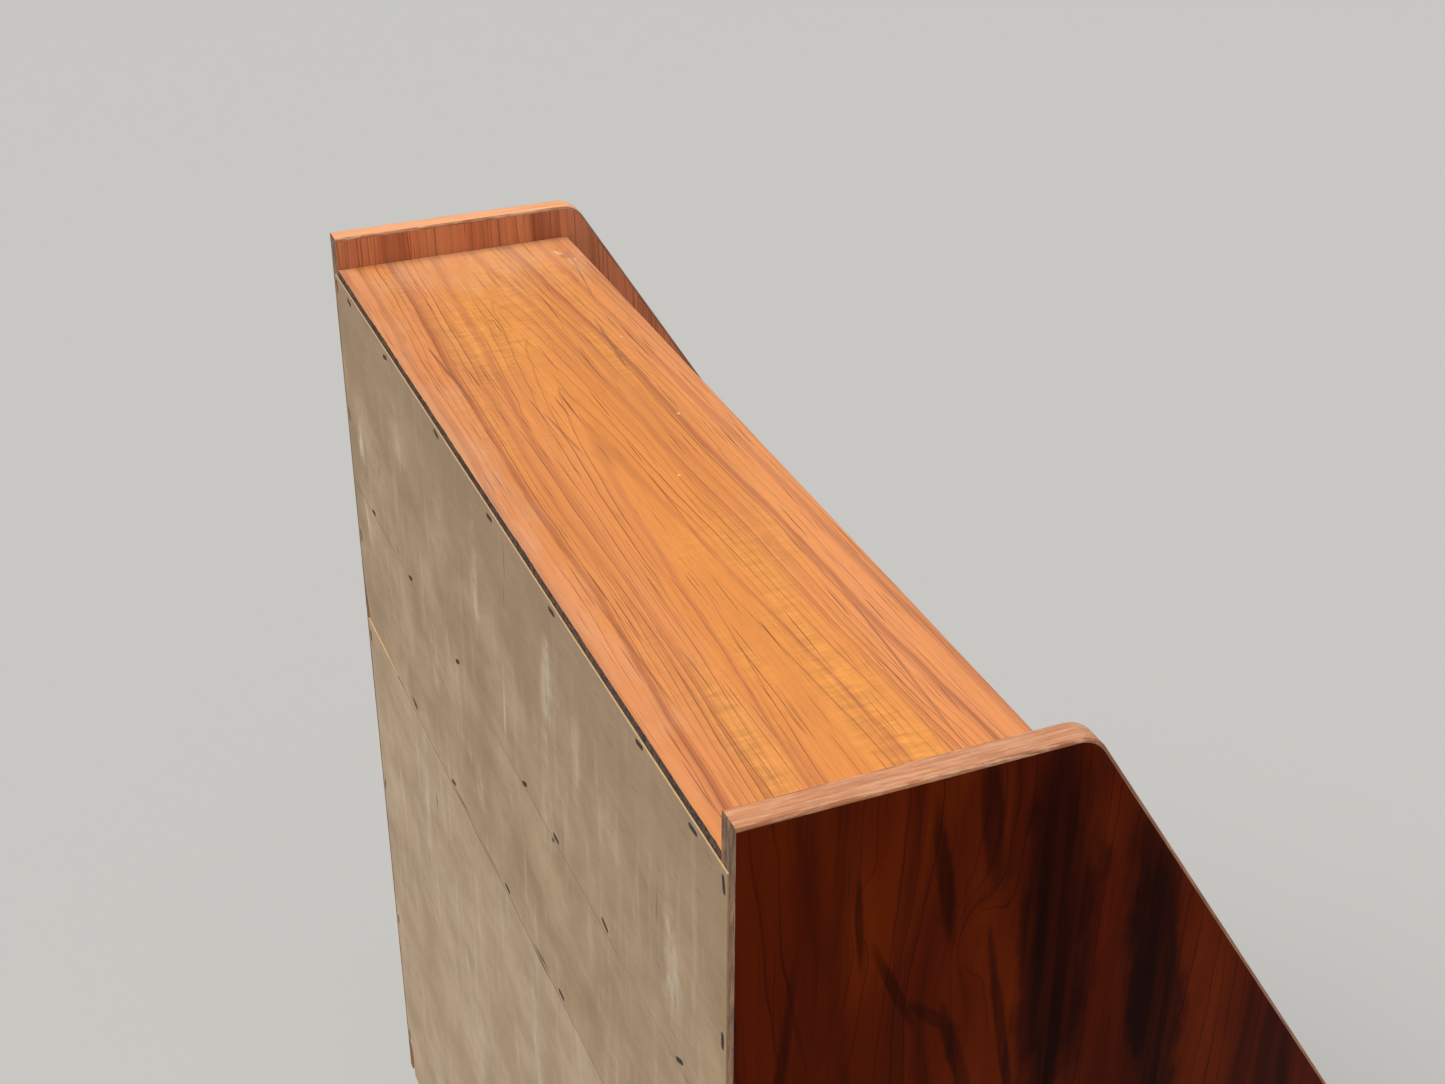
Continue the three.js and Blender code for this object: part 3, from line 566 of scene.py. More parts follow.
def plywood(name, tones, seed, smudges, cracks_and_painted_seam_shade, lines=(), grimy=0.0):
    """Face ply: birch gone grey-beige, faint level grain, dust, upright pale rubs, short dark crack marks and
    a hairline where the edge of each board behind it shows; among the crack marks, flat dark ones along
    a seam are dirt and painted shade. A mark is (x, z, half width, half height, lean, strength); lines
    are heights, and above grimy the sheet is dirtier."""
    base, dark, pale, mark = (linear(code) for code in tones)
    material, tree = new_material(name)
    along, across, _ = add(tree, "SeparateXYZ", grain_frame(tree, "XZY"))
    place = add(tree, "CombineXYZ", along, across)
    fibre = mottle(tree, place, (90, 2.6, 20), seed, 4, 0.6)
    figure = mottle(tree, place, (96, 66, 40), seed + 1, 6, 0.62)
    fleck = mottle(tree, place, (20, 0.8, 4), seed + 2, 1, band=(0.66, 0.74))
    dust = mottle(tree, place, (110, 130, 60), seed + 4, 6, 0.64)
    cloud = add(tree, "MapRange SMOOTHSTEP", dust, 0.42, 0.74)
    streak = mottle(tree, place, (13, 105, 40), seed + 7, 4, 0.6, band=(0.50, 0.80))
    dusty = mottle(tree, place, (7, 26, 10), seed + 8, 4, 0.65, band=(0.30, 0.62))
    rubs = add(tree, "Math MULTIPLY", blots(tree, place, smudges, seed + 3, 0.9, 0.0), dusty)

    colour = add(tree, "MixRGB", add(tree, "MapRange SMOOTHSTEP", figure, 0.25, 0.78), dark, base)
    colour = add(tree, "MixRGB", add(tree, "Math MULTIPLY", cloud, 0.55), colour, dark)
    colour = add(tree, "MixRGB", add(tree, "Math MULTIPLY", streak, 0.32), colour, pale)
    if grimy:
        high_up = add(tree, "Math ADD", across, add(tree, "Math MULTIPLY", dust, 90.0))
        high_up = add(tree, "MapRange SMOOTHSTEP", high_up, grimy, grimy + 95)
        colour = add(tree, "MixRGB", add(tree, "Math MULTIPLY", high_up, 0.6), colour, dark)
    colour = add(tree, "MixRGB", rubs, colour, pale)
    colour = add(tree, "MixRGB", add(tree, "Math MULTIPLY", fleck, 0.35), colour, mark)
    # Dark marks: crack marks, and along the seam of the back sheets dirt and painted shade.
    colour = add(tree, "MixRGB", blots(tree, place, cracks_and_painted_seam_shade, seed + 5, 0.5, 0.2), colour, mark)
    for height in lines:
        bend = mottle(tree, place, (400, 90, 40), seed + 5, 2)
        bend = add(tree, "Math MULTIPLY_ADD", bend, 3.0, -1.5)
        off = add(tree, "Math ADD", add(tree, "Math SUBTRACT", across, height), bend)
        off = add(tree, "MapRange SMOOTHSTEP", add(tree, "Math ABSOLUTE", off), 0.2, 0.8)
        broken = mottle(tree, place, (300, 26, 40), seed + 6, 3, band=(0.40, 0.60))
        faint = add(tree, "Math MULTIPLY", add(tree, "Math SUBTRACT", 1.0, off), broken)
        colour = add(tree, "MixRGB", add(tree, "Math MULTIPLY", faint, 0.6), colour, mark)
    colour = tinted(tree, colour, add(tree, "Math MULTIPLY_ADD", fibre, 0.20, 0.90))
    dull = add(tree, "Math MULTIPLY_ADD", dust, 0.15, 0.66)
    relief = add(tree, "Math SUBTRACT", fibre, fleck)
    shader = surface(tree, colour, dull, relief, 0.15 * MM, 0.6)
    shader.inputs["Specular IOR Level"].default_value = 0.25
    return material


def ply_layers(name, thin_axis, start, thickness, tones):
    """The sheet's sawn edge: three plies, the middle one across the other two and darker."""
    face, heart = (linear(code) for code in tones)
    material, tree = new_material(name)
    place = grain_frame(tree, "XYZ")
    depth = add(tree, "SeparateXYZ", place)["XYZ".index(thin_axis)]
    depth = add(tree, "Math DIVIDE", add(tree, "Math SUBTRACT", depth, start / MM), thickness / MM)
    off_middle = add(tree, "Math ABSOLUTE", add(tree, "Math SUBTRACT", depth, 0.5))
    rough = mottle(tree, place, (5, 5, 5), 3, 4, 0.6)
    colour = add(tree, "MixRGB", add(tree, "Math LESS_THAN", off_middle, 0.18), face, heart)
    colour = tinted(tree, colour, add(tree, "Math MULTIPLY_ADD", rough, 0.5, 0.72))
    surface(tree, colour, 0.8, rough, 0.3 * MM, 0.7)
    return material


def plain(name, code, roughness, metallic=0.0, grime=0.2, grit=6.0, seed=1):
    """A metal or a plain matt finish: one colour, dulled in patches a few millimetres across."""
    material, tree = new_material(name)
    patch = mottle(tree, grain_frame(tree, "XYZ"), (grit, grit, grit), seed, 3, 0.6)
    colour = tinted(tree, linear(code), add(tree, "Math MULTIPLY_ADD", patch, 2 * grime, 1 - grime))
    dull = add(tree, "Math MULTIPLY_ADD", patch, 0.3, roughness - 0.15)
    surface(tree, colour, dull).inputs["Metallic"].default_value = metallic
    return material


def ply_sheet(name, node, materials, spring_upper=False, broken_corner=False):
    """A thin sheet with a gentle wave in it, its edges crisp, its outer face at +Y."""
    low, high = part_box(node)
    across = max(2, round((high.x - low.x) / SHEET_STEP))
    tall = max(2, round((high.z - low.z) / SHEET_STEP))
    shape = bmesh.new()
    rows = {}
    for side, y in ((0, low.y), (1, high.y)):
        for i in range(across + 1):
            for k in range(tall + 1):
                x = low.x + (high.x - low.x) * i / across
                z = low.z + (high.z - low.z) * k / tall
                sink = WAVE * (0.5 + 0.5 * noise.noise(Vector((x * 5, z * 5, 2))))
                if spring_upper:
                    near_end = max(0.0, 1 - (high.x - x) / SPRING_REACH)
                    near_seam = max(0.0, 1 - (z - low.z) / SPRING_RISE)
                    sink += SPRING * (near_end * near_seam)
                if broken_corner and x > high.x - 14 * MM and z < low.z + 38 * MM:
                    x = min(x, high.x - 12 * MM)
                rows[side, i, k] = shape.verts.new((x, y - sink, z))
    for i in range(across):
        for k in range(tall):
            ring = [(i, k), (i + 1, k), (i + 1, k + 1), (i, k + 1)]
            shape.faces.new([rows[0, a, b] for a, b in ring]).material_index = 2
            shape.faces.new([rows[1, a, b] for a, b in reversed(ring)]).material_index = 0
    border = [(i, 0) for i in range(across)] + [(across, k) for k in range(tall)] \
        + [(i, tall) for i in range(across, 0, -1)] + [(0, k) for k in range(tall, 0, -1)]
    for a, b in zip(border, border[1:] + border[:1]):
        side = shape.faces.new([rows[0, *a], rows[1, *a], rows[1, *b], rows[0, *b]])
        level, reach = (rows[1, *a].co.z + rows[1, *b].co.z) / 2, high.x - rows[1, *a].co.x
        # Edges along the seam, all but near the right-hand end, take the dark seam material: dirt and painted
        # shade in the gap.
        side.material_index = 3 if abs(level - seam) < 1 * MM and reach > SPRING_REACH * 0.8 else 1
    bmesh.ops.remove_doubles(shape, verts=shape.verts, dist=0.01 * MM)
    return settle(name, shape, materials, node)


upper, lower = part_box("back_sheet_upper"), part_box("back_sheet_lower")
seam = (upper[0].z + lower[1].z) / 2
# The seam between the sheets: dirt and painted shade in the gap.
seam_dirt_and_painted_shade = plain("dirt_and_painted_shade_in_the_seam", "#3a2a1c", 0.95, 0.0, 0.4, 2.0, 15)
shelf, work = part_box("pigeonhole_shelf"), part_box("work_board")
ply_tones = ("#bfa486", "#9d8367", "#d6c6b0", "#41301f")
upper_smudges = (
    (39, 974, 13, 62, 4, 0.65), (-128, 995, 14, 72, 6, 0.7), (391, 931, 14, 36, 0, 0.9),
    (392, 850, 8, 30, -12, 0.7), (-23, 908, 4, 50, 3, 0.65), (-185, 974, 12, 48, 3, 0.45),
    (-354, 928, 19, 64, 2, 0.6), (-120, 880, 20, 44, 0, 0.35), (180, 830, 16, 45, 0, 0.35),
    (250, 1000, 14, 40, 0, 0.4), (60, 780, 18, 34, 0, 0.35))
# The flat marks near z 723 to 731 mm lie along the seam below: dirt and painted shade.
upper_cracks_and_painted_seam_shade = (
    (-43, 1048, 0.7, 22, 0, 0.9), (-38, 1018, 0.6, 16, 4, 0.8), (330, 930, 1.2, 9, 20, 0.8),
    (283, 878, 1.6, 6, 0, 0.9), (-128, 868, 5, 2.2, -30, 0.9), (-330, 968, 0.6, 26, 3, 0.7),
    (-84, 724.5, 22, 2.2, -3, 0.85), (265, 731, 16, 2.4, -6, 0.75), (120, 724, 26, 1.8, -2, 0.8),
    (40, 723, 34, 1.2, -1, 0.7))
lower_smudges = (
    (250, 640, 14, 80, 4, 0.4), (-60, 600, 12, 100, -3, 0.45), (120, 450, 30, 70, 0, 0.35),
    (147, 531, 12, 8, 60, 0.6), (-250, 350, 14, 90, 6, 0.45), (300, 240, 30, 60, 0, 0.35),
    (-330, 560, 10, 70, -6, 0.5))
# The flat marks near z 718 mm lie along the seam above: dirt and painted shade.
lower_cracks_and_painted_seam_shade = (
    (213, 660, 1.8, 11, 2, 0.95), (330, 520, 0.7, 20, 3, 0.5), (-80, 300, 0.8, 18, 5, 0.6),
    (268, 503, 34, 0.7, -4, 0.6), (210, 180, 1.0, 14, 0, 0.7), (-84, 718.5, 26, 1.6, 0, 0.8),
    (60, 718, 60, 1.2, 0, 0.5))
clean_tones = ("#c6ae92", "#a88f74", "#d8cab6", "#41301f")
shelf_height = (shelf[0].z + shelf[1].z) / 2
upper_face = plywood("raw_birch_plywood_upper", ply_tones, 21, upper_smudges, upper_cracks_and_painted_seam_shade,
                     (shelf_height / MM,), grimy=1000)
lower_face = plywood("raw_birch_plywood_lower", clean_tones, 29, lower_smudges, lower_cracks_and_painted_seam_shade)
layers = ply_layers("plywood_edge_plies", "Y", upper[0].y, upper[1].y - upper[0].y,
                    ("#d8b483", "#9c7448"))
inside_face = teak("teak_veneer_inside_back", "ZXY", inner_tones_painted_light, 27, ring=8, crown=-120, depth=30,
                   rise=0.05, wander=26, dark_years=((96, 5, 0.6), (190, 6, 0.5)), ripple=0.2,
                   rough=0.48, gloss=0.3)
bare_inside = plywood("raw_birch_plywood_inside", clean_tones, 37,
                      ((0, 400, 40, 120, 0, 0.2),), ((-80, 300, 0.8, 20, 5, 0.5),))
ply_sheet("back_plywood_upper", "back_sheet_upper", [upper_face, layers, inside_face, seam_dirt_and_painted_shade],
          spring_upper=True)
ply_sheet("back_plywood_lower", "back_sheet_lower", [lower_face, layers, bare_inside, seam_dirt_and_painted_shade],
          broken_corner=True)

rust = plain("rusted_steel_staple", "#30231b", 0.6, 0.6, 0.35, 2.0, 3)
# The dark patch round each staple is ply bruised and stained by the gun, with painted shadow.
painted_shadow_and_bruise = plain("bruised_face_ply_in_painted_shadow", "#3e2d1f", 0.85, 0.0, 0.3, 3.0, 5)


def solid(shape, rings, material=0, capped=True):
    """A solid through rings of points from foot to top. Without its cap it is open there, and the top
    ring's corners are given."""
    rings = [[shape.verts.new(point) for point in ring] for ring in rings]
    faces = [list(reversed(rings[0]))]
    for foot, top in zip(rings, rings[1:]):
        faces += [(foot[i - 1], foot[i], top[i], top[i - 1]) for i in range(len(foot))]
    if capped:
        faces.append(rings[-1])
    for face in faces:
        shape.faces.new(face).material_index = material
    return rings[-1]


def staple(shape, x, z, turn, y):
    """One staple crown sunk in a dark patch: ply bruised and stained round it by its gun, and painted shadow."""
    across, up = Vector((math.cos(turn), 0, math.sin(turn))), Vector((-math.sin(turn), 0, math.cos(turn)))
    centre = Vector((x, y, z))
    for half, tall, proud, index in ((STAPLE_CROWN * 0.66, STAPLE_WIRE * 1.7, -0.02 * MM, 1),
                                     (STAPLE_CROWN * 0.5, STAPLE_WIRE * 0.5, 0.0, 0)):
        points = 12
        ring = []
        for i in range(points):
            angle = 2 * math.pi * i / points
            reach = half * math.copysign(abs(math.cos(angle)) ** 0.4, math.cos(angle))
            rise = tall * math.copysign(abs(math.sin(angle)) ** 0.7, math.sin(angle))
            ring.append(centre + across * reach + up * rise + Vector((0, proud, 0)))
        solid(shape, ([p - Vector((0, 0.8 * MM, 0)) for p in ring], ring), index)


inner_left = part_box("side_panel_left")[1].x
staple_rows = {
    upper[1].z - 5.5 * MM: (38, 120, 278, 412, 545, 694, 812),
    shelf_height + 4 * MM: (60, 191, 290, 360, 529, 668, 790),
    work[1].z - 3 * MM: (74, 294, 423, 571, 691),
    lower[0].z + 10 * MM: (52, 210, 395, 566, 700, 806),
}
chance = random.Random(11)
shape = bmesh.new()
for z, places in staple_rows.items():
    for place in places:
        staple(shape, inner_left + place * MM, z + chance.uniform(-2, 2) * MM, chance.uniform(-0.5, 0.3),
               upper[1].y - 0.04 * MM)
for side in (upper[0].x + 5 * MM, upper[1].x - 5 * MM):
    for z in (upper[1].z - 5 * MM, upper[1].z - 128 * MM, upper[1].z - 262 * MM, lower[1].z - 18 * MM,
              lower[1].z - 190 * MM, lower[1].z - 365 * MM, lower[0].z + 60 * MM):
        staple(shape, side, z + chance.uniform(-6, 6) * MM, math.pi / 2 + chance.uniform(-0.3, 0.3),
               upper[1].y - 0.04 * MM)
settle("back_staples", shape, [rust, painted_shadow_and_bruise], body="case")


# Fixed boards inside the case: veneered both sides, a solid teak lip on each front edge, back edges raw
# behind the plywood. The dividers' grain stands upright, the others' runs along the bureau.
BOARD_ARRIS = 0.8 * MM
board_tones = ("#bd6f3c", "#cf8a4a", "#b8683f", "#8e4f2c", "#5c3019")
board_veneer = teak("teak_veneer_inside_boards", "XYZ", board_tones, 31, ring=7.5, crown=20, depth=40,
                    rise=0.04, wander=26, dark_years=((62, 4, 0.6), (118, 5, 0.5)), ripple=0.4,
                    rough=0.46, gloss=0.35)
upright_veneer = teak("teak_veneer_dividers", "ZYX", board_tones, 33, ring=6, crown=100, depth=30,
                      rise=0.05, wander=20, rough=0.46, gloss=0.35)
upright_lip = lipping("solid_teak_upright_edges", "ZYX", ("#c27c4a", "#9c5c34", "#dcae82"), 13)


def fixed_board(node, veneer, lip_material, through, arris=BOARD_ARRIS):
    """A board whose two faces are across the axis named through and whose front edge is lipped."""
    low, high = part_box(node)
    shape = welded(node)
    axis = "xyz".index(through)
    paint(shape, lambda normal, middle: 0 if abs(normal[axis]) > 0.9 else 2 if normal.y > 0.9 else 1)
    ease(shape, arris, lambda e: max(v.co.y for v in e.verts) < low.y + 1 * MM)
    settle(f"{node}_veneered", shape, [veneer, lip_material, raw_core], node)


for node in ("work_board", "pigeonhole_shelf", "small_drawer_shelf_left", "small_drawer_shelf_right",
             "bottom_board"):
    fixed_board(node, board_veneer, front_lip, "z")
for node in ("divider_left", "divider_right"):
    fixed_board(node, upright_veneer, upright_lip, "x")


# Fall flap: one veneered board with a solid lip worked into a long finger grip at its upper edge. Its
# outer veneer is laid across the bureau in one leaf, and its inner side is the work surface's twin.
FLAP_ARRIS = 0.9 * MM
pivot = Vector(flap_hinge["pos_m"])
out_of_flap = Vector((0, -math.cos(lean), math.sin(lean)))
front_tones = ("#c06e36", "#cc8840", "#bd6a40", "#8d4c28", "#5a2e17")
flap_veneer = teak("teak_veneer_flap", "XZY", front_tones, 41, ring=8, crown=900, depth=26, rise=0.06,
                   start=-425, wander=34, dark_years=((96, 6, 0.6), (150, 5, 0.5)), ripple=0.3,
                   rough=0.4, gloss=0.4, lean=lean)
front_years = ((84, 6, 0.6), (171, 7, 0.5), (236, 5, 0.5))
front_veneer = teak("teak_veneer_drawer_fronts", "XZY", front_tones, 43, ring=8.5, crown=400, depth=28,
                    rise=0.07, start=-425, wander=44, dark_years=front_years, ripple=0.3, rough=0.4,
                    gloss=0.4)
shape = welded("flap")


def flap_face(normal, middle):
    facing = normal.dot(out_of_flap)
    if facing > 0.99:
        return 0
    if facing < -0.99 and abs((middle - pivot).dot(out_of_flap)) < 1 * MM:
        return 1
    return 2


paint(shape, flap_face)
ease(shape, FLAP_ARRIS, lambda e: all((v.co - pivot).dot(out_of_flap) > 5 * MM for v in e.verts))
settle("flap_veneered", shape, [flap_veneer, board_veneer, front_lip], "flap")


# Butt hinges: rolled brass leaves let in flush, a steel pin through the knuckles, three countersunk
# slotted screws in each leaf.
SCREW_R = 2.9 * MM
SLOT_W = 0.7 * MM
PIN_R = 1.4 * MM
brass = plain("rolled_brass", "#b8934e", 0.38, 1.0, 0.18, 5.0, 7)
brass_screw = plain("turned_brass_screw", "#c9a765", 0.32, 1.0, 0.15, 2.0, 8)
steel = plain("drawn_steel_pin", "#8f8d88", 0.35, 1.0, 0.2, 2.0, 9)


def screw(shape, centre, across, normal, material):
    """A slotted countersunk head, its slot turned as the driver left it."""
    side = normal.cross(across)
    for sign in (-1, 1):
        reach = math.acos(SLOT_W / 2 / SCREW_R)
        angles = [-reach + 2 * reach * i / 12 for i in range(13)]
        rim = [centre + (across * math.cos(a) * sign + side * math.sin(a)) * SCREW_R for a in angles]
        top = [p + normal * 0.12 * MM for p in rim]
        foot = [p - normal * 0.7 * MM for p in rim]
        solid(shape, (foot, top), material)


def pin(shape, centre, axis, radius, length, material, turns=24):
    """A round rod with chamfered ends, lying along axis about its centre."""
    side = axis.orthogonal().normalized()
    other = axis.cross(side)
    chamfer = 0.2 * radius / length
    angles = [2 * math.pi * i / turns for i in range(turns)]
    spokes = [side * math.cos(a) + other * math.sin(a) for a in angles]
    rings = []
    for offset, r in ((-0.5, 0.8), (-0.5 + chamfer, 1), (0.5 - chamfer, 1), (0.5, 0.8)):
        middle = centre + axis * length * offset
        rings.append([middle + spoke * radius * r for spoke in spokes])
    solid(shape, rings, material)


for hand in ("left", "right"):
    for part in ("fixed", "flap"):
        node = f"hinge_leaf_{part}_{hand}"
        low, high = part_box(node)
        middle = (low.x + high.x) / 2
        along = Vector((0, 1, 0)) if part == "fixed" else Vector((0, math.sin(lean), math.cos(lean)))
        normal = Vector((0, 0, 1)) if part == "fixed" else -out_of_flap
        shape = welded(node)
        ease(shape, 0.25 * MM, segments=1)
        for i, x in enumerate((-17 * MM, 0, 17 * MM)):
            turn = 0.4 + 0.9 * i + (0.5 if part == "flap" else 0)
            across = Vector((1, 0, 0)) * math.cos(turn) + along * math.sin(turn)
            reach = (15 if i == 1 else 12) * MM
            screw(shape, Vector((middle + x, pivot.y, pivot.z)) + along * reach, across, normal, 1)
        if part == "fixed":
            pin_length = high.x - low.x + 0.3 * MM
            pin(shape, Vector((middle, pivot.y, pivot.z)), Vector((1, 0, 0)), PIN_R, pin_length, 2)
        settle(f"{node}_rolled", shape, [brass, brass_screw, steel], node, smooth=28)


# Rail, lopers and their guides: the rail and the lopers are solid teak, planed and oiled, each loper
# with a scoop for a fingertip near its front end. The guides are plain beech, faced in front with teak.
LOPER_ARRIS = 1.4 * MM
rail_teak = lipping("solid_teak_rail", "XZY", ("#b06a38", "#8c4c26", "#cf9a6c"), 16)
loper_teak = lipping("solid_teak_lopers", "YZX", ("#b8703c", "#8f5028", "#cf9a6c"), 17)


def beech(name, grain, seed, tones=("#d2a878", "#b98c5c", "#9c6f44")):
    """Planed beech: even and pale, with the short dark dashes of its rays along the grain."""
    base, deep, ray = (linear(code) for code in tones)
    material, tree = new_material(name)
    place = grain_frame(tree, grain)
    fibre = mottle(tree, place, (160, 5, 5), seed, 3, 0.55)
    rays = mottle(tree, place, (3.4, 0.45, 0.45), seed + 1, 1, band=(0.60, 0.70))
    handled = mottle(tree, place, (90, 60, 60), seed + 2, 3)
    colour = add(tree, "MixRGB", add(tree, "MapRange SMOOTHSTEP", fibre, 0.3, 0.75), base, deep)
    colour = add(tree, "MixRGB", add(tree, "Math MULTIPLY", rays, 0.45), colour, ray)
    colour = tinted(tree, colour, add(tree, "Math MULTIPLY_ADD", handled, 0.34, 0.83))
    surface(tree, colour, add(tree, "Math MULTIPLY_ADD", fibre, 0.2, 0.5), fibre, 0.1 * MM, 0.4)
    return material


deep_beech = beech("planed_beech_along_depth", "YZX", 51)
cross_beech = beech("planed_beech_across_width", "XZY", 53)

shape = welded("front_rail")
ease(shape, BOARD_ARRIS)
settle("front_rail_planed", shape, [rail_teak], "front_rail")
for hand in ("left", "right"):
    shape = welded(f"loper_{hand}")
    ease(shape, LOPER_ARRIS, segments=3)
    settle(f"loper_{hand}_planed", shape, [loper_teak], f"loper_{hand}")
    shape = welded(f"loper_guide_{hand}")
    paint(shape, lambda normal, middle: 1 if normal.y < -0.9 else 0)
    ease(shape, SAWN_ARRIS, segments=1)
    settle(f"loper_guide_{hand}_planed", shape, [deep_beech, rail_teak], f"loper_guide_{hand}")
for name in ("upper", "middle", "lower"):
    for hand in ("left", "right"):
        shape = welded(f"{name}_runner_{hand}")
        ease(shape, 0.6 * MM, segments=1)
        settle(f"{name}_runner_{hand}_planed", shape, [deep_beech], f"{name}_runner_{hand}")


# Drawers: beech boxes dovetailed at the front, a birch plywood bottom slid into grooves, and a veneered
# front with a solid lip along its upper edge, scooped behind for the fingertips.
FRONT_ARRIS = 0.7 * MM
TAIL_REACH = 11 * MM
TAIL_NECK = 0.62
TAIL_PROUD = 0.12 * MM
drawer_ply = plywood("birch_plywood_drawer_bottoms", ("#d8b98c", "#c6a374", "#e6d0ac", "#8a6640"), 61,
                     ((40, 150, 60, 30, 0, 0.2),), ((-90, 300, 14, 0.6, 4, 0.4),))
drawer_layers = ply_layers("birch_plywood_edges", "Z", 0.0, 5 * MM, ("#dcbc8c", "#a67c50"))


def tails(shape, low, high, outside, count, material):
    """Half-blind tails that the drawer side's front end sends into the front board, seen end on."""
    pitch = (high.z - low.z) / count
    inside = outside - math.copysign(3 * MM, outside - (low.x + high.x) / 2)
    neck, tip = low.y + 1 * MM, low.y - TAIL_REACH
    for i in range(count):
        centre = low.z + pitch * (i + 0.5)
        wide, narrow = pitch * 0.36, pitch * 0.36 * TAIL_NECK
        ends = [(neck, -narrow), (tip, -wide), (tip, wide), (neck, narrow)]
        solid(shape, [[(x, y, centre + z) for y, z in ends] for x in (inside, outside)], material)


def drawer_box(name, tail_count, arris):
    for hand in ("left", "right"):
        node = f"{name}_side_{hand}"
        low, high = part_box(node)
        shape = welded(node)
        ease(shape, arris, lambda e: min(v.co.z for v in e.verts) > high.z - 1 * MM)
        outside = low.x - TAIL_PROUD if hand == "left" else high.x + TAIL_PROUD
        tails(shape, low, high, outside, tail_count, 0)
        settle(f"{node}_dovetailed", shape, [deep_beech], node)
    shape = welded(f"{name}_back")
    ease(shape, arris)
    settle(f"{name}_back_planed", shape, [cross_beech], f"{name}_back")
    shape = welded(f"{name}_bottom")
    paint(shape, lambda normal, middle: 0 if abs(normal.z) > 0.9 else 1)
    settle(f"{name}_bottom_slid_in", shape, [drawer_ply, drawer_layers], f"{name}_bottom")


for name in ("upper", "middle", "lower"):
    node = f"{name}_drawer_front"
    low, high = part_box(node)
    shape = welded(node)
    paint(shape, lambda normal, middle: 0 if normal.y < -0.9 and middle.y < low.y + 1 * MM
          else 2 if normal.y > 0.9 and middle.y > high.y - 1 * MM else 1)
    ease(shape, FRONT_ARRIS, lambda e: min(v.co.y for v in e.verts) < low.y + 6 * MM
         or min(v.co.z for v in e.verts) > high.z - 1 * MM)
    settle(f"{node}_veneered", shape, [front_veneer, front_lip, cross_beech], node)
    drawer_box(f"{name}_drawer", {"upper": 3, "middle": 4, "lower": 5}[name], 1.0 * MM)

small_front = teak("teak_veneer_small_fronts", "XZY", front_tones, 47, ring=6, crown=760, depth=24,
                   rise=0.04, wander=18, ripple=0.5, rough=0.42, gloss=0.4)
for hand in ("left", "right"):
    node = f"small_drawer_{hand}_front"
    low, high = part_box(node)
    shape = welded(node)
    paint(shape, lambda normal, middle: 0 if normal.y < -0.9 else 2 if normal.y > 0.9 else 1)
    ease(shape, FRONT_ARRIS, lambda e: max(v.co.y for v in e.verts) < low.y + 1 * MM)
    settle(f"{node}_veneered", shape, [small_front, front_lip, cross_beech], node)
    drawer_box(f"small_drawer_{hand}", 2, 0.6 * MM)


# Thread rack: a planed beech strip standing in the upper drawer, drilled for two rows of turned pegs
# with domed tips that hold reels of thread.
PEG_R = 3 * MM
PEG_PITCH_X, PEG_PITCH_Y = 50.4 * MM, 28 * MM
STRIP_H = 10 * MM
PEG_SIDES = 20
DOME = (22, 45, 66)


def turned(shape, x, y, profile, sides, material=0, capped=True):
    """A piece turned about an upright axis, from (radius, height) pairs."""
    angles = [2 * math.pi * i / sides for i in range(sides)]
    rings = [[(x + r * math.cos(a), y + r * math.sin(a), z) for a in angles] for r, z in profile]
    return solid(shape, rings, material, capped)


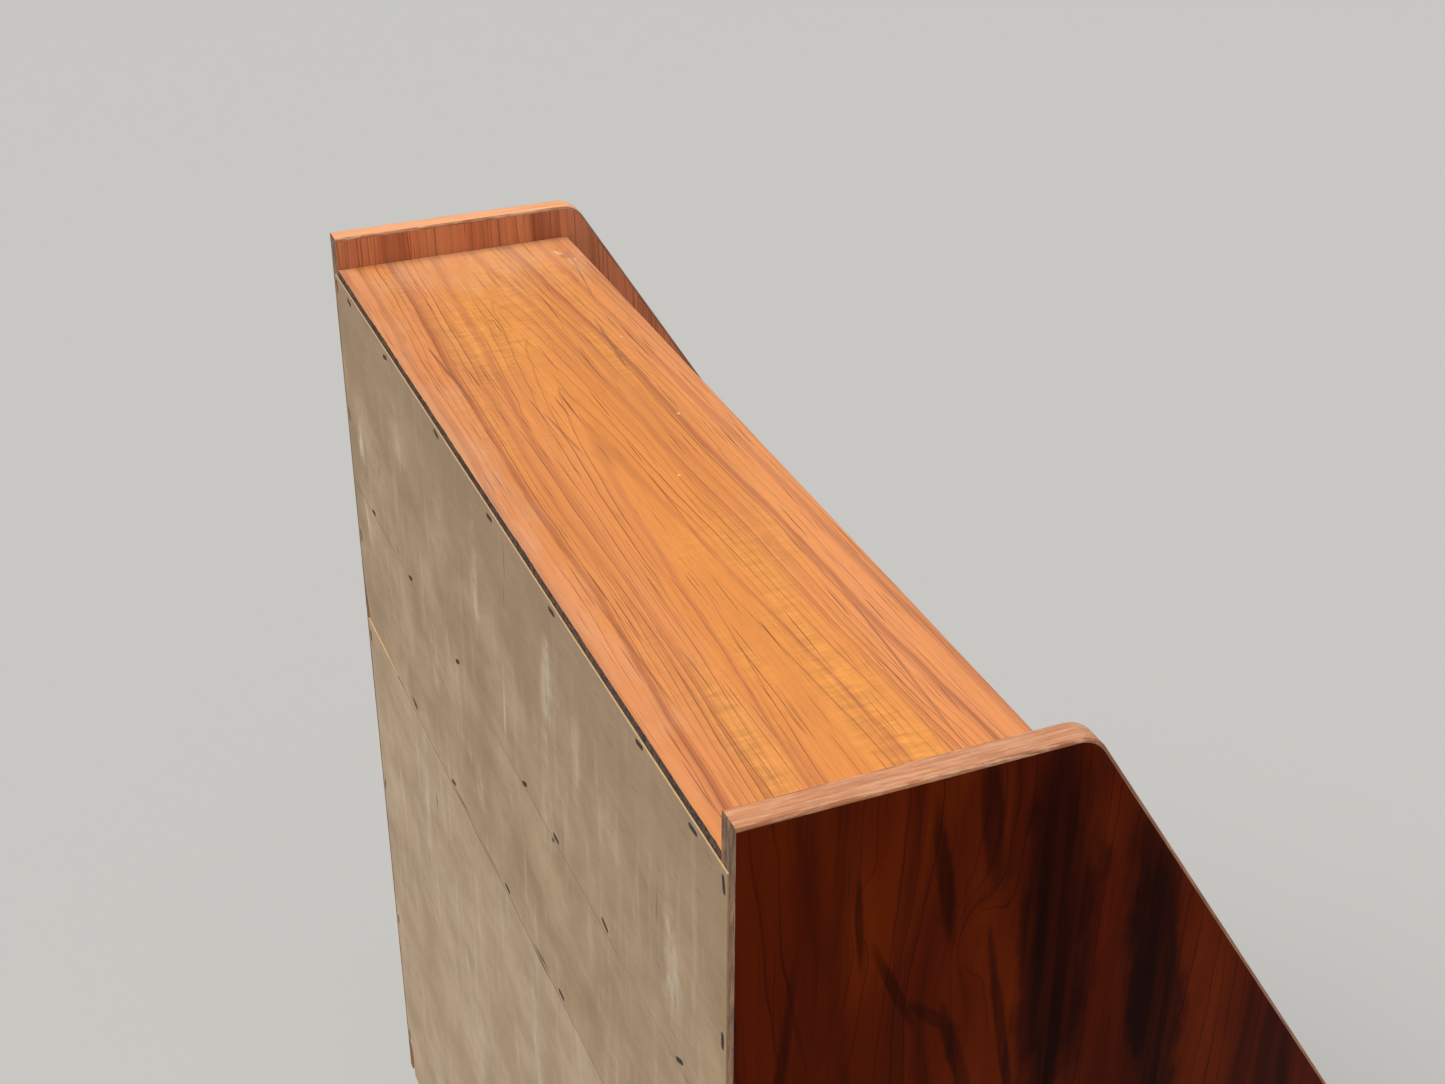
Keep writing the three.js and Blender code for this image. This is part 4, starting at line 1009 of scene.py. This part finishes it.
low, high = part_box("thread_rack")
shape = bmesh.new()
bmesh.ops.create_cube(shape, size=1, matrix=Matrix.Translation(
    ((low.x + high.x) / 2, (low.y + high.y) / 2, low.z + STRIP_H / 2)) @ Matrix.Diagonal(
    (high.x - low.x, high.y - low.y, STRIP_H, 1)))
ease(shape, 1.5 * MM, segments=3)
middle = (low + high) / 2
for i in range(6):
    for j in range(2):
        x = middle.x + (i - 2.5) * PEG_PITCH_X
        y = middle.y + (j - 0.5) * PEG_PITCH_Y
        profile = [(PEG_R, low.z + STRIP_H - 0.5 * MM), (PEG_R, high.z - PEG_R)]
        profile += [(PEG_R * math.cos(a), high.z - PEG_R + PEG_R * math.sin(a))
                    for a in (math.radians(d) for d in DOME)]
        rim = turned(shape, x, y, profile, PEG_SIDES, capped=False)
        tip = shape.verts.new((x, y, high.z))
        for k in range(PEG_SIDES):
            shape.faces.new((rim[k - 1], rim[k], tip))
settle("thread_rack_turned", shape, [cross_beech], "thread_rack")


# Base: two battens screwed under the case, and four legs turned from solid teak, each with a shoulder
# under its batten and a felt glide at the foot.
LEG_SIDES = 48
GLIDE_H = 2.5 * MM
batten_teak = lipping("solid_teak_battens", "YXZ", ("#9c5a30", "#7a4120", "#b98458"), 19)
leg_teak = lipping("turned_teak_legs", "ZXY", ("#b5693a", "#8a4b28", "#cf9a6c"), 23, rough=0.4)
felt = plain("pressed_felt_glide", "#4a4038", 0.95, 0.0, 0.3, 1.5, 12)


for hand in ("left", "right"):
    shape = welded(f"leg_batten_{hand}")
    ease(shape, 1.5 * MM, segments=3)
    settle(f"leg_batten_{hand}_planed", shape, [batten_teak], f"leg_batten_{hand}")
    for place in ("back", "front"):
        node = f"leg_{place}_{hand}"
        low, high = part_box(node)
        x, y = (low.x + high.x) / 2, (low.y + high.y) / 2
        top_r, height = (high.x - low.x) / 2, high.z
        foot_r = top_r * 11 / 17
        shape = bmesh.new()
        neck_r = top_r - 1.6 * MM
        profile = [(foot_r - 1.2 * MM, GLIDE_H), (foot_r, GLIDE_H + 1.5 * MM)]
        for i in range(1, 9):
            t = i / 9
            swell = 0.5 * MM * math.sin(math.pi * t)
            rise = GLIDE_H + 1.5 * MM + (height - 22 * MM) * t
            profile.append((foot_r + (neck_r - foot_r) * t + swell, rise))
        profile += [(neck_r, height - 17 * MM), (top_r - 0.4 * MM, height - 13 * MM),
                    (top_r, height - 10 * MM), (top_r, height - 1.2 * MM), (top_r - 1.0 * MM, height)]
        turned(shape, x, y, profile, LEG_SIDES)
        glide_r = foot_r - 1.6 * MM
        glide = [(foot_r - 2.2 * MM, 0), (glide_r, 0.5 * MM), (glide_r, GLIDE_H)]
        turned(shape, x, y, glide, LEG_SIDES, 1)
        settle(f"{node}_turned", shape, [leg_teak, felt], node)

low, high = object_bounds()
